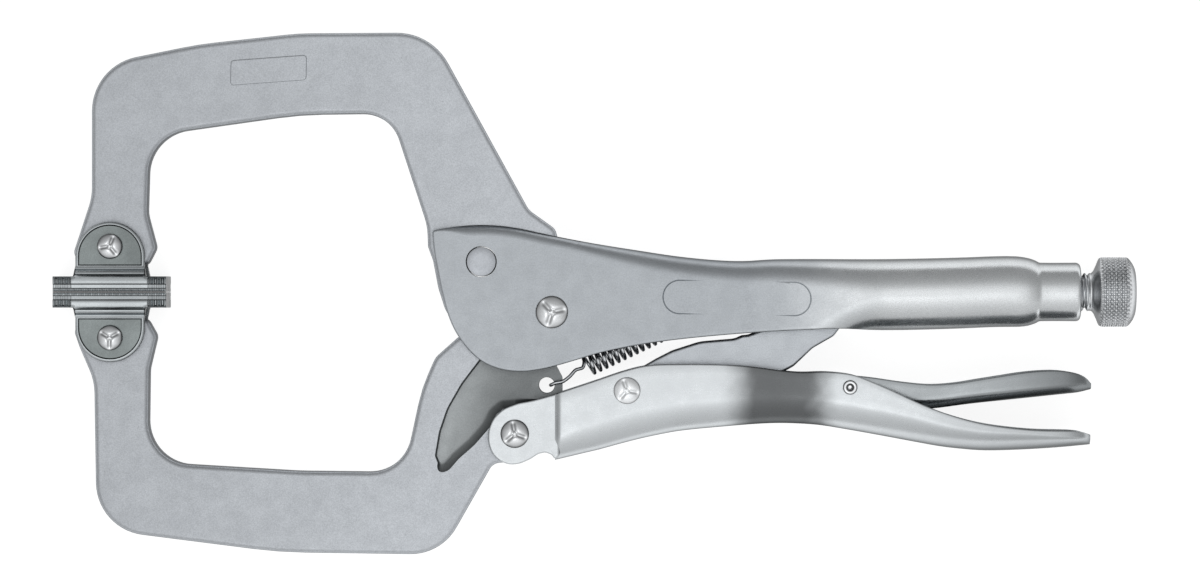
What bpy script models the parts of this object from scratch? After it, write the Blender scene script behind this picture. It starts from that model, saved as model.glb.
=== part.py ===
"""Locking C-clamp pliers, closed and locked, lying flat on one side.

Drawing coordinates (u, v, z) are millimetres from the main pivot: u runs along
the handle toward the adjusting screw, v toward the upper jaw, z through the
thickness, with z = 0 on the tool's middle plane.  The model's own origin is
under the middle of its box, on the surface it lies on.
"""
import math

import bmesh
import bpy
from mathutils import Vector

# ---------------------------------------------------------------- dimensions
MM = 0.001
CENTRE_U = 11.03            # middle of the tool's box, seen from the main pivot
CENTRE_V = 4.73
HALF_DEPTH = 9.05           # middle plane to the surface the tool lies on

GAP = 0.3                   # between pieces that would touch
PIN_GAP = 0.15              # pin to bore, on radius

# joint axes, all parallel to z
MAIN_PIVOT = (0.0, 0.0)
HANDLE_PIVOT = (-9.4, -30.9)
LINK_PIVOT = (19.1, -19.9)
RELEASE_PIVOT = (75.7, -19.1)
UPPER_PAD_PIVOT = (-112.2, 16.7)
LOWER_PAD_PIVOT = (-112.2, -6.5)
JAW_RIVET = (-17.9, 12.8)
SPRING_HOLE = (-1.3, -18.6)
SPRING_ANCHOR = (47.9, 4.8)
SCREW_V = 5.1               # height of the screw's axis
CLAMP_V = 5.1               # plane where the two pads meet

# jaws
JAW_HALF = 4.75             # half of the jaws' thickness
JAW_CHAMFER = 0.9
BOSS_R = 9.2                # lower jaw's boss round the main pivot
SHANK_R = 10.2              # upper jaw's hollow round that boss
POCKET_HALF = 2.55          # half thickness left between the two pockets
SPRING_HOLE_R = 2.0

# upper handle
UPPER_SHEET = 2.3
UPPER_FRONT_HALF = 7.3
TUBE_R = 9.05
NECK_R = 7.5
SEAM_HALF = 0.3

# lower handle and release lever
LOWER_SHEET = 1.9
LEVER_SHEET = 1.5

# toggle link
LINK_HALF = 4.0

# adjusting screw
SCREW_R = 4.85
SCREW_TIP_U = 80.6
KNOB_R = 8.85
KNOB_START_U = 139.2
KNOB_END_U = 148.66
THREAD_PITCH = 1.5

# tension spring
COIL_R = 2.5                # coil centre line
WIRE_R = 0.6
COIL_PITCH = 2.3

# swivel pads
PAD_HALF_LENGTH = 14.4
PAD_FACE = 11.45            # pivot to clamping face
PAD_BACK = 7.6              # pivot to the back of the plate
EAR_INNER = 5.1
EAR_OUTER = 6.8
EAR_R = 8.8
EAR_CENTRE = 2.6            # ear's arc centre, below the pivot

# rivets: shank radius, head radius, underside of head, top of head
MAIN_RIVET = (3.0, 4.1, 7.6, 9.05)
HANDLE_RIVET = (2.6, 3.6, 7.2, 8.6)
LINK_RIVET = (2.4, 3.4, 8.2, 9.05)
RELEASE_RIVET = (1.3, 1.9, 7.95, 8.45)
PAD_RIVET = (2.2, 3.2, 7.1, 8.4)
JAW_RIVET_R = 3.8

SEGMENTS = 18               # sides of a full circle
ARC_STEP = math.radians(18)


# ------------------------------------------------------------------- helpers
def clear_scene():
    for obj in list(bpy.data.objects):
        bpy.data.objects.remove(obj, do_unlink=True)


def arc(centre, radius, start, end, step=ARC_STEP):
    """Points on a circular arc, angles in degrees, as sharp corners."""
    a0, a1 = math.radians(start), math.radians(end)
    count = max(1, math.ceil(abs(a1 - a0) / step))
    return [(centre[0] + radius * math.cos(a0 + (a1 - a0) * i / count),
             centre[1] + radius * math.sin(a0 + (a1 - a0) * i / count), 0.0)
            for i in range(count + 1)]


def tangent_angle(point, centre, radius, side):
    """Angle on a circle where a line from the point touches it, in degrees."""
    du, dv = point[0] - centre[0], point[1] - centre[1]
    return math.degrees(math.atan2(dv, du)
                        + side * math.acos(radius / math.hypot(du, dv))) % 360.0


def outline(corners, step=ARC_STEP):
    """Closed outline from corners (u, v, radius): every corner becomes an arc
    tangent to both of its edges.  Runs counter-clockwise."""
    points = []
    count = len(corners)
    for i, (u, v, radius) in enumerate(corners):
        here = Vector((u, v))
        before = Vector(corners[i - 1][:2]) - here
        after = Vector(corners[(i + 1) % count][:2]) - here
        reach = 0.48 * min(before.length, after.length)
        before.normalize()
        after.normalize()
        inner = math.acos(max(-1.0, min(1.0, before.dot(after))))
        turn = math.pi - inner
        if radius <= 0.0 or turn < math.radians(1.5):
            points.append(here)
            continue
        tangent = min(radius / math.tan(inner / 2), reach)
        radius = tangent * math.tan(inner / 2)
        middle = here + (before + after).normalized() * (radius / math.sin(inner / 2))
        first = here + before * tangent - middle
        sweep = first.angle_signed(here + after * tangent - middle)
        pieces = max(1, math.ceil(turn / step))
        for k in range(pieces + 1):
            angle = -sweep * k / pieces
            c, s = math.cos(angle), math.sin(angle)
            points.append(middle + Vector((first.x * c - first.y * s,
                                           first.x * s + first.y * c)))
    area = sum(points[i - 1].x * points[i].y - points[i].x * points[i - 1].y
               for i in range(len(points)))
    return points if area > 0 else points[::-1]


def inset(points, distance, closed=True):
    """The line moved to its left by a distance."""
    moved = []
    count = len(points)
    for i in range(count):
        edges = []
        if closed or i > 0:
            edges.append((points[i] - points[i - 1]).normalized())
        if closed or i < count - 1:
            edges.append((points[(i + 1) % count] - points[i]).normalized())
        normals = [Vector((-e.y, e.x)) for e in edges]
        if len(normals) == 1:
            moved.append(points[i] + normals[0] * distance)
        else:
            both = normals[0] + normals[1]
            moved.append(points[i] + both * (distance / max(0.3, 1 + normals[0].dot(normals[1]))))
    return moved


def skin(rings, closed_ends=True, folded=False):
    """A body from rings of points: quads between rings, a face on each end.
    Folded sheet is split into triangles, because its quads aren't flat."""
    bm = bmesh.new()
    loops = [[bm.verts.new(p) for p in ring] for ring in rings]
    for low, high in zip(loops, loops[1:]):
        for i in range(len(low)):
            j = (i + 1) % len(low)
            bm.faces.new((low[i], low[j], high[j], high[i]))
    if closed_ends:
        bm.faces.new(loops[0][::-1])
        bm.faces.new(loops[-1])
    bmesh.ops.recalc_face_normals(bm, faces=bm.faces)
    if folded:
        bmesh.ops.triangulate(bm, faces=bm.faces)
    return bm


def plate(points, low, high, chamfer=0.0):
    """Flat plate between two heights, its rims chamfered."""
    if chamfer <= 0:
        levels = [(low, 0.0), (high, 0.0)]
    else:
        levels = [(low, chamfer), (low + chamfer, 0.0),
                  (high - chamfer, 0.0), (high, chamfer)]
    rings = []
    for height, amount in levels:
        ring = inset(points, amount) if amount else points
        rings.append([(p.x, p.y, height) for p in ring])
    return skin(rings)


def turned(profile, centre, segments=SEGMENTS, along="z"):
    """A body turned about an axis; the profile is (radius, position) from one
    end of the axis to the other."""
    bm = bmesh.new()
    rings = []
    for radius, position in profile:
        ring = []
        for k in range(segments if radius > 0 else 1):
            a = 2 * math.pi * (k + 0.5) / segments
            c, s = radius * math.cos(a), radius * math.sin(a)
            if along == "z":
                ring.append(bm.verts.new((centre[0] + c, centre[1] + s, position)))
            else:
                ring.append(bm.verts.new((position, centre[0] + c, centre[1] + s)))
        rings.append(ring)
    for low, high in zip(rings, rings[1:]):
        for k in range(segments):
            n = (k + 1) % segments
            if len(low) == 1:
                bm.faces.new((low[0], high[n], high[k]))
            elif len(high) == 1:
                bm.faces.new((low[k], low[n], high[0]))
            else:
                bm.faces.new((low[k], low[n], high[n], high[k]))
    bmesh.ops.recalc_face_normals(bm, faces=bm.faces)
    return bm


def tube(path, radius, sides=6):
    """A round wire along a path of points, its frame carried along it."""
    rings = []
    points = [Vector(p) for p in path]
    normal = None
    for i, p in enumerate(points):
        heading = (points[min(i + 1, len(points) - 1)] - points[max(i - 1, 0)]).normalized()
        if normal is None:
            normal = heading.orthogonal().normalized()
        normal = (normal - heading * normal.dot(heading)).normalized()
        side = heading.cross(normal)
        rings.append([p + (normal * math.cos(2 * math.pi * k / sides)
                           + side * math.sin(2 * math.pi * k / sides)) * radius
                      for k in range(sides)])
    return skin(rings)


def box(u0, u1, v0, v1, z0, z1):
    return plate([Vector((u0, v0)), Vector((u1, v0)), Vector((u1, v1)), Vector((u0, v1))], z0, z1)


def finish(name, bm, pivot, colour, roughness, metallic=1.0, smooth=True):
    """Name the body, put its origin on its axis and give it its material."""
    for vert in bm.verts:
        vert.co = Vector(((vert.co.x - pivot[0]) * MM, (vert.co.y - pivot[1]) * MM,
                          vert.co.z * MM))
    mesh = bpy.data.meshes.new(name)
    bm.to_mesh(mesh)
    bm.free()
    if smooth:
        mesh.shade_smooth()
        mesh.set_sharp_from_angle(angle=math.radians(32))
    obj = bpy.data.objects.new(name, mesh)
    obj.location = ((pivot[0] - CENTRE_U) * MM, (pivot[1] - CENTRE_V) * MM, HALF_DEPTH * MM)
    bpy.context.collection.objects.link(obj)
    material = bpy.data.materials.new(name)
    material.use_nodes = True
    shader = material.node_tree.nodes["Principled BSDF"]
    shader.inputs["Base Color"].default_value = (*colour, 1.0)
    shader.inputs["Roughness"].default_value = roughness
    shader.inputs["Metallic"].default_value = metallic
    mesh.materials.append(material)
    return obj


def combine(obj, name, bm, operation="DIFFERENCE"):
    """Cut, keep or join a second body with an object, as a live Boolean."""
    pivot = (obj.location.x / MM + CENTRE_U, obj.location.y / MM + CENTRE_V)
    tool = finish(name, bm, pivot, (0.5, 0.5, 0.5), 0.5, smooth=False)
    tool.hide_render = True
    tool.display_type = "WIRE"
    step = obj.modifiers.new(name, "BOOLEAN")
    step.operation = operation
    step.solver = "EXACT"
    step.object = tool
    return tool


def pin(centre, radius, half=12.0):
    """A plain round bar along z, used for bores."""
    return turned([(0, -half), (radius, -half), (radius, half), (0, half)], centre)


def rivet(name, centre, sizes, pivot, colour, roughness):
    """A rivet with a low dome on each side."""
    shank, head, under, top = sizes
    rise = top - under
    dome = [(head, under), (head, under + 0.25 * rise), (head * 0.8, under + 0.72 * rise),
            (head * 0.42, under + 0.95 * rise)]
    half = [(shank, under)] + dome + [(0, top)]
    profile = [(r, -z) for r, z in reversed(half)] + half
    return finish(name, turned(profile, centre), pivot, colour, roughness)


def along(table, u):
    """Smooth value at u from a table of (u, value)."""
    if u <= table[0][0]:
        return table[0][1]
    for (u0, a), (u1, b) in zip(table, table[1:]):
        if u <= u1:
            s = (u - u0) / (u1 - u0)
            return a + (b - a) * s
    return table[-1][1]


# ------------------------------------------------------------------- colours
NICKEL = (0.47, 0.49, 0.52)
BRIGHT_NICKEL = (0.66, 0.69, 0.72)
DARK_NICKEL = (0.34, 0.37, 0.39)
POLISHED = (0.70, 0.72, 0.74)


# ---------------------------------------------------------------- upper jaw
def upper_jaw():
    heel = (-24.0, -4.8)
    touch = tangent_angle(heel, MAIN_PIVOT, SHANK_R, -1)
    corners = [
        (-100.7, 16.3, 2.5), (-103.0, 25.0, 6.4), (-102.4, 44.9, 13.5),
        (-64.3, 50.3, 76.5), (-41.1, 50.6, 9.7), (-31.7, 21.9, 15.3),
        (-31.5, 16.6, 1.5), (-30.2, 13.0, 4.0), (-28.9, 6.1, 12.0), (-27.2, 0.8, 6.0),
        (*heel, 1.5),
        *arc(MAIN_PIVOT, SHANK_R, touch, 50.0),
        (12.0, 8.0, 2.0), (15.3, 8.0, 1.2), (15.3, 12.6, 1.2),
        (2.3, 15.4, 1.5), (1.6, 18.4, 1.5), (0.8, 21.2, 2.5),
        (-5.9, 26.0, 5.6), (-30.7, 71.1, 14.8), (-64.3, 70.9, 51.0),
        (-89.8, 68.1, 76.5), (-117.0, 62.6, 14.0), (-117.0, 29.3, 15.3),
        (-120.4, 18.9, 10.2), (-121.6, 15.3, 2.0), (-120.6, 12.2, 2.5),
        (-115.0, 9.7, 2.0), (-109.4, 9.7, 2.0), (-102.8, 12.2, 2.5),
    ]
    obj = finish("upper_jaw", plate(outline(corners), -JAW_HALF, JAW_HALF, JAW_CHAMFER),
                 MAIN_PIVOT, NICKEL, 0.42)
    combine(obj, "cut_upper_jaw_bores", pin(UPPER_PAD_PIVOT, PAD_RIVET[0] + PIN_GAP))
    combine(obj, "cut_upper_jaw_rivet", pin(JAW_RIVET, JAW_RIVET_R + PIN_GAP))


# ---------------------------------------------------------------- lower jaw
def lower_jaw():
    heel = (-23.5, -6.1)
    touch = tangent_angle(heel, MAIN_PIVOT, BOSS_R, -1)
    corners = [
        (-100.5, -6.1, 2.5), (-102.5, -14.5, 7.7), (-102.8, -38.2, 11.2),
        (-64.3, -40.5, 76.5), (-37.7, -40.8, 10.7), (-33.1, -19.4, 51.0),
        (-29.6, -11.5, 5.1), (*heel, 1.5),
        *arc(MAIN_PIVOT, BOSS_R, touch, -74.0),
        (0.7, -12.8, 1.2), (2.7, -16.6, 1.5), (2.7, -20.4, 2.0),
        (-1.0, -30.1, 2.5), (-4.3, -36.5, 3.1), (-9.4, -38.0, 3.1),
        (-15.0, -38.5, 3.1), (-28.2, -61.7, 13.3), (-69.4, -61.1, 102.0),
        (-115.8, -55.2, 13.5), (-116.4, -17.5, 15.3), (-120.1, -9.0, 10.2),
        (-121.4, -5.2, 2.0), (-120.6, -2.0, 2.5), (-115.0, 0.5, 2.0),
        (-109.4, 0.5, 2.0), (-102.8, -2.0, 2.5),
    ]
    obj = finish("lower_jaw", plate(outline(corners), -JAW_HALF, JAW_HALF, JAW_CHAMFER),
                 MAIN_PIVOT, NICKEL, 0.42)
    # shallow recess on each side, open toward the handle
    recess = outline([
        (-28.3, -39.0, 1.3), (-29.3, -36.5, 1.3), (-28.3, -30.6, 7.7),
        (-26.3, -24.7, 7.7), (-22.7, -18.4, 7.7), (-17.6, -11.7, 1.3),
        (-12.0, -9.7, 2.5), (-5.6, -10.5, 2.5), (1.0, -9.9, 2.5),
        (7.1, -12.8, 0.0), (7.1, -20.7, 0.0), (-1.8, -22.2, 2.5),
        (-9.4, -21.9, 5.1), (-13.3, -22.2, 3.1), (-16.1, -24.5, 5.1),
        (-17.9, -28.1, 5.1), (-21.4, -32.1, 5.1), (-25.5, -35.7, 5.1)])
    combine(obj, "cut_lower_jaw_recess_top", plate(recess, POCKET_HALF, 8.0))
    combine(obj, "cut_lower_jaw_recess_base", plate(recess, -8.0, -POCKET_HALF))
    combine(obj, "cut_lower_jaw_main", pin(MAIN_PIVOT, MAIN_RIVET[0] + PIN_GAP))
    combine(obj, "cut_lower_jaw_handle", pin(HANDLE_PIVOT, HANDLE_RIVET[0] + PIN_GAP))
    combine(obj, "cut_lower_jaw_spring", pin(SPRING_HOLE, SPRING_HOLE_R))
    combine(obj, "cut_lower_jaw_pad", pin(LOWER_PAD_PIVOT, PAD_RIVET[0] + PIN_GAP))


# -------------------------------------------------------------- upper handle
UPPER_TOP = [(-33.0, 19.7), (-30.6, 20.6), (-28.6, 21.0), (-23.5, 21.8), (-18.4, 22.1),
             (-13.3, 21.9), (-8.2, 21.2), (-3.1, 20.1), (2.0, 19.1), (12.2, 17.2),
             (22.4, 15.6), (32.6, 14.0), (42.8, 13.1), (49.2, 13.0), (55.6, 13.5),
             (63.2, 13.4), (84.9, 13.5), (104.0, 13.9), (114.2, 14.3), (117.8, 14.3),
             (120.4, 14.15), (122.6, 13.5), (124.2, 12.6), (136.0, 12.6)]
UPPER_HALF = [(-33.0, 7.3), (40.0, 7.3), (55.0, 7.7), (70.0, 8.7), (79.0, TUBE_R),
              (120.0, TUBE_R), (122.6, 8.4), (124.2, NECK_R), (136.0, NECK_R)]
UPPER_CORNER = [(-33.0, 2.9), (10.0, 3.1), (35.0, 3.9), (55.0, 5.2), (70.0, 7.3),
                (79.0, 8.9), (120.0, 8.9), (124.2, 7.35), (136.0, 7.35)]
UPPER_CURL = [(79.0, 0.0), (85.0, 90.0)]


def upper_section(u):
    """Section of the folded sheet: two walls under a web, the walls curling in
    until they meet and make a tube."""
    top = along(UPPER_TOP, u)
    half = along(UPPER_HALF, u)
    corner = along(UPPER_CORNER, u)
    curl = math.radians(along(UPPER_CURL, u))
    middle = top - half
    if u >= 80.0:
        middle = SCREW_V + (middle - SCREW_V) * (1.0 if u < 118.0 else 0.0)
    # right wall from its lower end up to the web's middle; z across, v up
    length = 34.0 if u < 50.0 else half * math.pi / 2 + 8.0 * max(0.0, (79.0 - u) / 29.0)
    turn = curl if curl > 0.0 else 0.0
    steps = 5
    lower = []
    last = 1.0
    if turn > 1.4:
        last = 1.0 - SEAM_HALF / length
    for k in range(steps + 1):
        s = last * (steps - k) / steps * length
        if turn > 0.01:
            r = length / turn
            lower.append(Vector((half - r * (1 - math.cos(s / r)), middle - r * math.sin(s / r))))
        else:
            lower.append(Vector((half, middle - s)))
    upper = []
    top_v = middle + half if u >= 80.0 else top
    for k in range(4):
        a = math.pi / 2 * (k + 1) / 4
        upper.append(Vector((half - corner + corner * math.cos(a),
                             top_v - corner + corner * math.sin(a))))
    right = lower + [Vector((half, top_v - corner))] * (0 if half - corner < 0.3 else 1) + upper
    if half - corner < 0.3:
        right = lower + [lower[-1].lerp(upper[0], 0.35)] + upper
    left = [Vector((-p.x, p.y)) for p in reversed(right)]
    outer = right + left
    inner = inset(outer, UPPER_SHEET, closed=False)
    return [(u, p.y, p.x) for p in outer] + [(u, p.y, p.x) for p in reversed(inner)]


def upper_handle():
    stations = [-33.0, -28.6, -18.4, -8.2, 2.0, 12.2, 22.4, 32.6, 42.8, 49.2, 55.6, 63.2,
                70.0, 74.0, 79.0, 81.0, 83.0, 85.0, 95.0, 104.0, 114.2, 118.0, 120.4,
                122.6, 124.2, 135.4]
    rings = [upper_section(u) for u in stations]
    obj = finish("upper_handle", skin(rings, folded=True), MAIN_PIVOT, NICKEL, 0.34)
    side = outline([
        (-30.3, 40.0, 0.0), (-30.4, 20.0, 1.0), (-29.3, 12.2, 20.0), (-26.3, -0.3, 20.0),
        (-24.5, -4.6, 15.0), (-21.4, -8.9, 12.0), (-17.6, -12.2, 12.0), (-13.3, -14.2, 12.0),
        (-8.2, -14.9, 12.0), (-3.1, -14.4, 15.0), (2.0, -13.3, 20.0), (12.2, -10.3, 40.0),
        (22.4, -8.3, 60.0), (42.8, -5.9, 80.0), (63.2, -4.5, 60.0), (70.0, -4.3, 40.0),
        (75.0, -4.75, 8.0), (79.5, -5.15, 0.0), (86.2, -5.2, 0.0), (89.0, -9.0, 0.0),
        (145.0, -9.0, 0.0), (145.0, 40.0, 0.0)])
    combine(obj, "keep_upper_handle_side", plate(side, -12.0, 12.0), "INTERSECT")
    inner = UPPER_FRONT_HALF - UPPER_SHEET
    combine(obj, "cut_upper_handle_slot",
            box(-40.0, 1.9 + GAP, -2.0, 40.0, -inner - 0.03, inner + 0.03))
    lug = outline([(45.4, 2.4, 1.5), (50.4, 2.4, 1.5), (51.6, 11.8, 0.0), (44.2, 11.8, 0.0)])
    combine(obj, "add_upper_handle_lug", plate(lug, -0.8, 0.8), "UNION")
    combine(obj, "cut_upper_handle_lug", pin(SPRING_ANCHOR, 1.3, 3.0))
    combine(obj, "cut_upper_handle_main", pin(MAIN_PIVOT, MAIN_RIVET[0] + PIN_GAP))
    combine(obj, "cut_upper_handle_rivet", pin(JAW_RIVET, JAW_RIVET_R + PIN_GAP))


# -------------------------------------------------------------- lower handle
LOWER_BASE = [(-20.0, -40.5), (0.8, -37.6), (7.1, -36.1), (12.2, -34.9), (17.3, -33.5),
              (22.4, -32.2), (27.5, -31.1), (32.6, -30.2), (37.7, -29.6), (42.8, -29.2),
              (47.9, -28.7), (53.0, -28.4), (58.1, -28.2), (63.2, -28.4), (68.3, -28.7),
              (73.4, -29.6), (78.5, -30.5), (83.6, -31.4), (88.7, -32.4), (93.8, -33.3),
              (98.9, -34.2), (104.0, -34.8), (109.1, -35.2), (114.2, -35.2), (121.9, -34.9),
              (129.5, -34.4), (138.0, -33.6)]
LOWER_HALF = [(-20.0, 6.9), (0.3, 6.9), (2.9, 7.9), (47.0, 7.9), (64.0, 7.25), (70.0, 7.25),
              (80.0, 7.7), (95.0, 8.8), (115.0, 9.0), (130.0, 8.6), (134.5, 7.2), (138.0, 4.2)]
LOWER_CORNER_Z = [(-20.0, 4.0), (60.0, 5.6), (90.0, 6.6), (120.0, 7.4), (134.5, 5.8), (138.0, 3.3)]
LOWER_CORNER_V = [(-20.0, 4.3), (20.0, 4.5), (50.0, 5.2), (65.0, 5.9), (90.0, 6.5),
                  (120.0, 4.6), (138.0, 3.4)]


def lower_section(u):
    """Section of the lower handle: a channel open toward the upper handle."""
    base = along(LOWER_BASE, u)
    half = along(LOWER_HALF, u)
    cz, cv = along(LOWER_CORNER_Z, u), along(LOWER_CORNER_V, u)
    right = [Vector((half, base + 24.0)), Vector((half, base + cv))]
    for k in range(1, 5):
        a = math.pi / 2 * k / 4
        right.append(Vector((half - cz + cz * math.cos(a), base + cv - cv * math.sin(a))))
    left = [Vector((-p.x, p.y)) for p in reversed(right)]
    outer = right + left
    inner = inset(outer, -LOWER_SHEET, closed=False)
    return [(u, p.y, p.x) for p in outer] + [(u, p.y, p.x) for p in reversed(inner)]


def lower_handle():
    stations = [-20.0, 0.3, 2.9, 12.2, 22.4, 32.6, 42.8, 50.0, 58.1, 66.0, 73.4, 80.0,
                88.7, 98.9, 109.1, 119.0, 129.5, 134.0, 138.0]
    obj = finish("lower_handle", skin([lower_section(u) for u in stations], folded=True),
                 HANDLE_PIVOT, BRIGHT_NICKEL, 0.24)
    side = outline([
        (-16.1, -32.6, 6.0), (-15.8, -29.6, 6.0), (-14.5, -26.8, 6.0), (-12.0, -24.7, 6.0),
        (-8.2, -23.3, 9.0), (1.0, -20.7, 30.0), (12.2, -17.0, 40.0), (22.4, -13.8, 25.0),
        (26.3, -13.3, 25.0), (42.8, -13.3, 60.0), (58.1, -14.8, 40.0), (63.2, -15.3, 20.0),
        (72.2, -15.2, 20.0), (76.5, -15.8, 20.0), (91.3, -22.2, 60.0), (102.8, -26.6, 50.0),
        (115.5, -29.3, 50.0), (134.1, -30.3, 10.0), (136.4, -31.0, 1.0), (137.0, -32.4, 1.0),
        (136.7, -33.7, 1.0), (133.0, -38.0, 0.0), (3.0, -45.0, 0.0),
        (0.6, -37.4, 0.6), (-0.5, -36.0, 1.5), (-2.6, -35.7, 1.5), (-5.6, -37.5, 4.0),
        (-8.2, -38.5, 5.0), (-11.0, -38.7, 5.0), (-13.5, -37.5, 5.0), (-15.6, -34.9, 5.0)])
    combine(obj, "keep_lower_handle_side", plate(side, -12.0, 12.0), "INTERSECT")
    combine(obj, "cut_lower_handle_slot", box(-30.0, 1.2, -45.0, -8.0, -5.03, 5.03))
    combine(obj, "cut_lower_handle_main", pin(HANDLE_PIVOT, HANDLE_RIVET[0] + PIN_GAP))
    combine(obj, "cut_lower_handle_link", pin(LINK_PIVOT, LINK_RIVET[0] + PIN_GAP))
    combine(obj, "cut_lower_handle_release", pin(RELEASE_PIVOT, RELEASE_RIVET[0] + PIN_GAP))


# ------------------------------------------------------------- release lever
LEVER_BASE = [(50.0, -23.8), (54.1, -24.0), (58.1, -24.3), (68.3, -24.7), (78.5, -25.0),
              (88.7, -25.0), (96.4, -24.6), (106.6, -23.3), (114.2, -22.5), (121.9, -21.7),
              (129.5, -20.9), (138.5, -19.9)]
LEVER_HALF = [(50.0, 4.9), (86.0, 4.9), (92.0, 5.5), (104.0, 7.4), (120.0, 8.0),
              (130.0, 7.6), (135.0, 6.4), (138.5, 4.2)]


def lever_section(u):
    """Section of the release lever: a shallow channel, wider at its thumb end."""
    base = along(LEVER_BASE, u)
    half = along(LEVER_HALF, u)
    cz, cv = half * 0.55, 2.4
    right = [Vector((half, base + 14.0)), Vector((half, base + cv))]
    for k in range(1, 4):
        a = math.pi / 2 * k / 3
        right.append(Vector((half - cz + cz * math.cos(a), base + cv - cv * math.sin(a))))
    left = [Vector((-p.x, p.y)) for p in reversed(right)]
    outer = right + left
    inner = inset(outer, -LEVER_SHEET, closed=False)
    return [(u, p.y, p.x) for p in outer] + [(u, p.y, p.x) for p in reversed(inner)]


def release_lever():
    stations = [50.0, 68.3, 80.0, 88.0, 93.0, 98.0, 104.0, 112.0, 120.0, 130.0, 135.0, 138.5]
    obj = finish("release_lever", skin([lever_section(u) for u in stations], folded=True),
                 RELEASE_PIVOT, DARK_NICKEL, 0.3)
    side = outline([
        (53.4, -21.9, 1.2), (58.1, -19.9, 10.0), (64.5, -17.9, 15.0), (70.9, -16.5, 15.0),
        (76.0, -16.2, 15.0), (81.1, -16.7, 20.0), (88.7, -17.9, 20.0), (95.0, -19.0, 10.0),
        (100.5, -18.6, 15.0), (109.1, -17.1, 30.0), (119.3, -15.4, 30.0), (124.4, -14.8, 15.0),
        (129.0, -14.8, 12.0), (133.1, -15.4, 10.0), (135.9, -16.6, 5.0), (137.6, -18.6, 1.0),
        (137.2, -20.2, 1.0), (134.0, -24.0, 0.0), (100.0, -30.0, 0.0), (53.0, -30.0, 0.0)])
    combine(obj, "keep_release_lever_side", plate(side, -12.0, 12.0), "INTERSECT")
    combine(obj, "cut_release_lever_pivot", pin(RELEASE_PIVOT, RELEASE_RIVET[0] + PIN_GAP))


# --------------------------------------------------------------- toggle link
def toggle_link():
    points = outline([
        (16.8, -15.3, 2.5), (22.4, -14.3, 2.5), (26.3, -12.0, 5.1), (30.6, -9.8, 5.1),
        (37.7, -7.5, 10.2), (47.9, -6.6, 10.2), (60.7, -1.5, 15.3), (72.4, 5.6, 2.0),
        (76.0, 6.4, 1.0), (76.0, 2.3, 1.2), (75.2, -1.5, 2.5), (71.7, -6.1, 2.5),
        (66.3, -9.2, 5.1), (61.5, -13.8, 5.1), (55.6, -17.1, 5.1), (46.7, -18.9, 10.2),
        (37.7, -20.4, 7.7), (26.3, -22.9, 3.1), (19.1, -25.0, 3.6), (14.3, -23.5, 3.6),
        (14.3, -17.3, 3.6)])
    obj = finish("toggle_link", plate(points, -LINK_HALF, LINK_HALF, 0.6),
                 LINK_PIVOT, BRIGHT_NICKEL, 0.3)
    combine(obj, "cut_toggle_link_pivot", pin(LINK_PIVOT, LINK_RIVET[0] + PIN_GAP))


# ----------------------------------------------------------- adjusting screw
def adjusting_screw():
    profile = [(0, SCREW_TIP_U), (3.6, SCREW_TIP_U), (SCREW_R, SCREW_TIP_U + 1.6),
               (SCREW_R, 133.4)]
    for turn in range(3):
        start = 133.4 + THREAD_PITCH * turn
        profile += [(SCREW_R - 0.75, start + 0.75), (SCREW_R, start + THREAD_PITCH)]
    profile += [(KNOB_R - 0.4, KNOB_START_U), (KNOB_R, KNOB_START_U + 0.5),
                (KNOB_R, KNOB_END_U - 2.1), (KNOB_R - 0.9, KNOB_END_U - 0.9),
                (5.6, KNOB_END_U), (0, KNOB_END_U)]
    finish("adjusting_screw", turned(profile, (SCREW_V, 0.0), along="u"),
           (KNOB_START_U, SCREW_V), POLISHED, 0.3)


# ------------------------------------------------------------ tension spring
def tension_spring():
    start = Vector((*SPRING_HOLE, 0.0))
    end = Vector((*SPRING_ANCHOR, 0.0))
    axis = (end - start).normalized()
    side = Vector((-axis.y, axis.x, 0.0))
    depth = Vector((0.0, 0.0, 1.0))
    length = (end - start).length
    coil_from, coil_to = 11.2, length - 5.6
    turns = round((coil_to - coil_from) / COIL_PITCH)
    path = []
    hook = start + Vector((1.0, 0.0, 0.0))
    path.append(hook - depth * 4.4)
    path.append(hook + depth * 2.6)
    path.append(hook + depth * 3.5 + axis * 0.6)
    path.append(start + axis * 5.5 + depth * 3.4 - side * 0.6)
    path.append(start + axis * 8.2 + depth * 3.0 + side * 0.2)
    steps = 7
    for k in range(turns * steps + 1):
        a = 2 * math.pi * k / steps
        s = coil_from + (coil_to - coil_from) * k / (turns * steps)
        path.append(start + axis * s
                    + side * (COIL_R * math.sin(a + 0.6)) + depth * (COIL_R * math.cos(a + 0.6)))
    path.append(end - axis * 3.0 + depth * 2.3 + side * 0.6)
    path.append(end - axis * 0.6 + depth * 2.0)
    path.append(end + depth * 1.2)
    path.append(end - depth * 2.2)
    finish("tension_spring", tube(path, WIRE_R, 4), SPRING_ANCHOR, POLISHED, 0.25)


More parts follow.
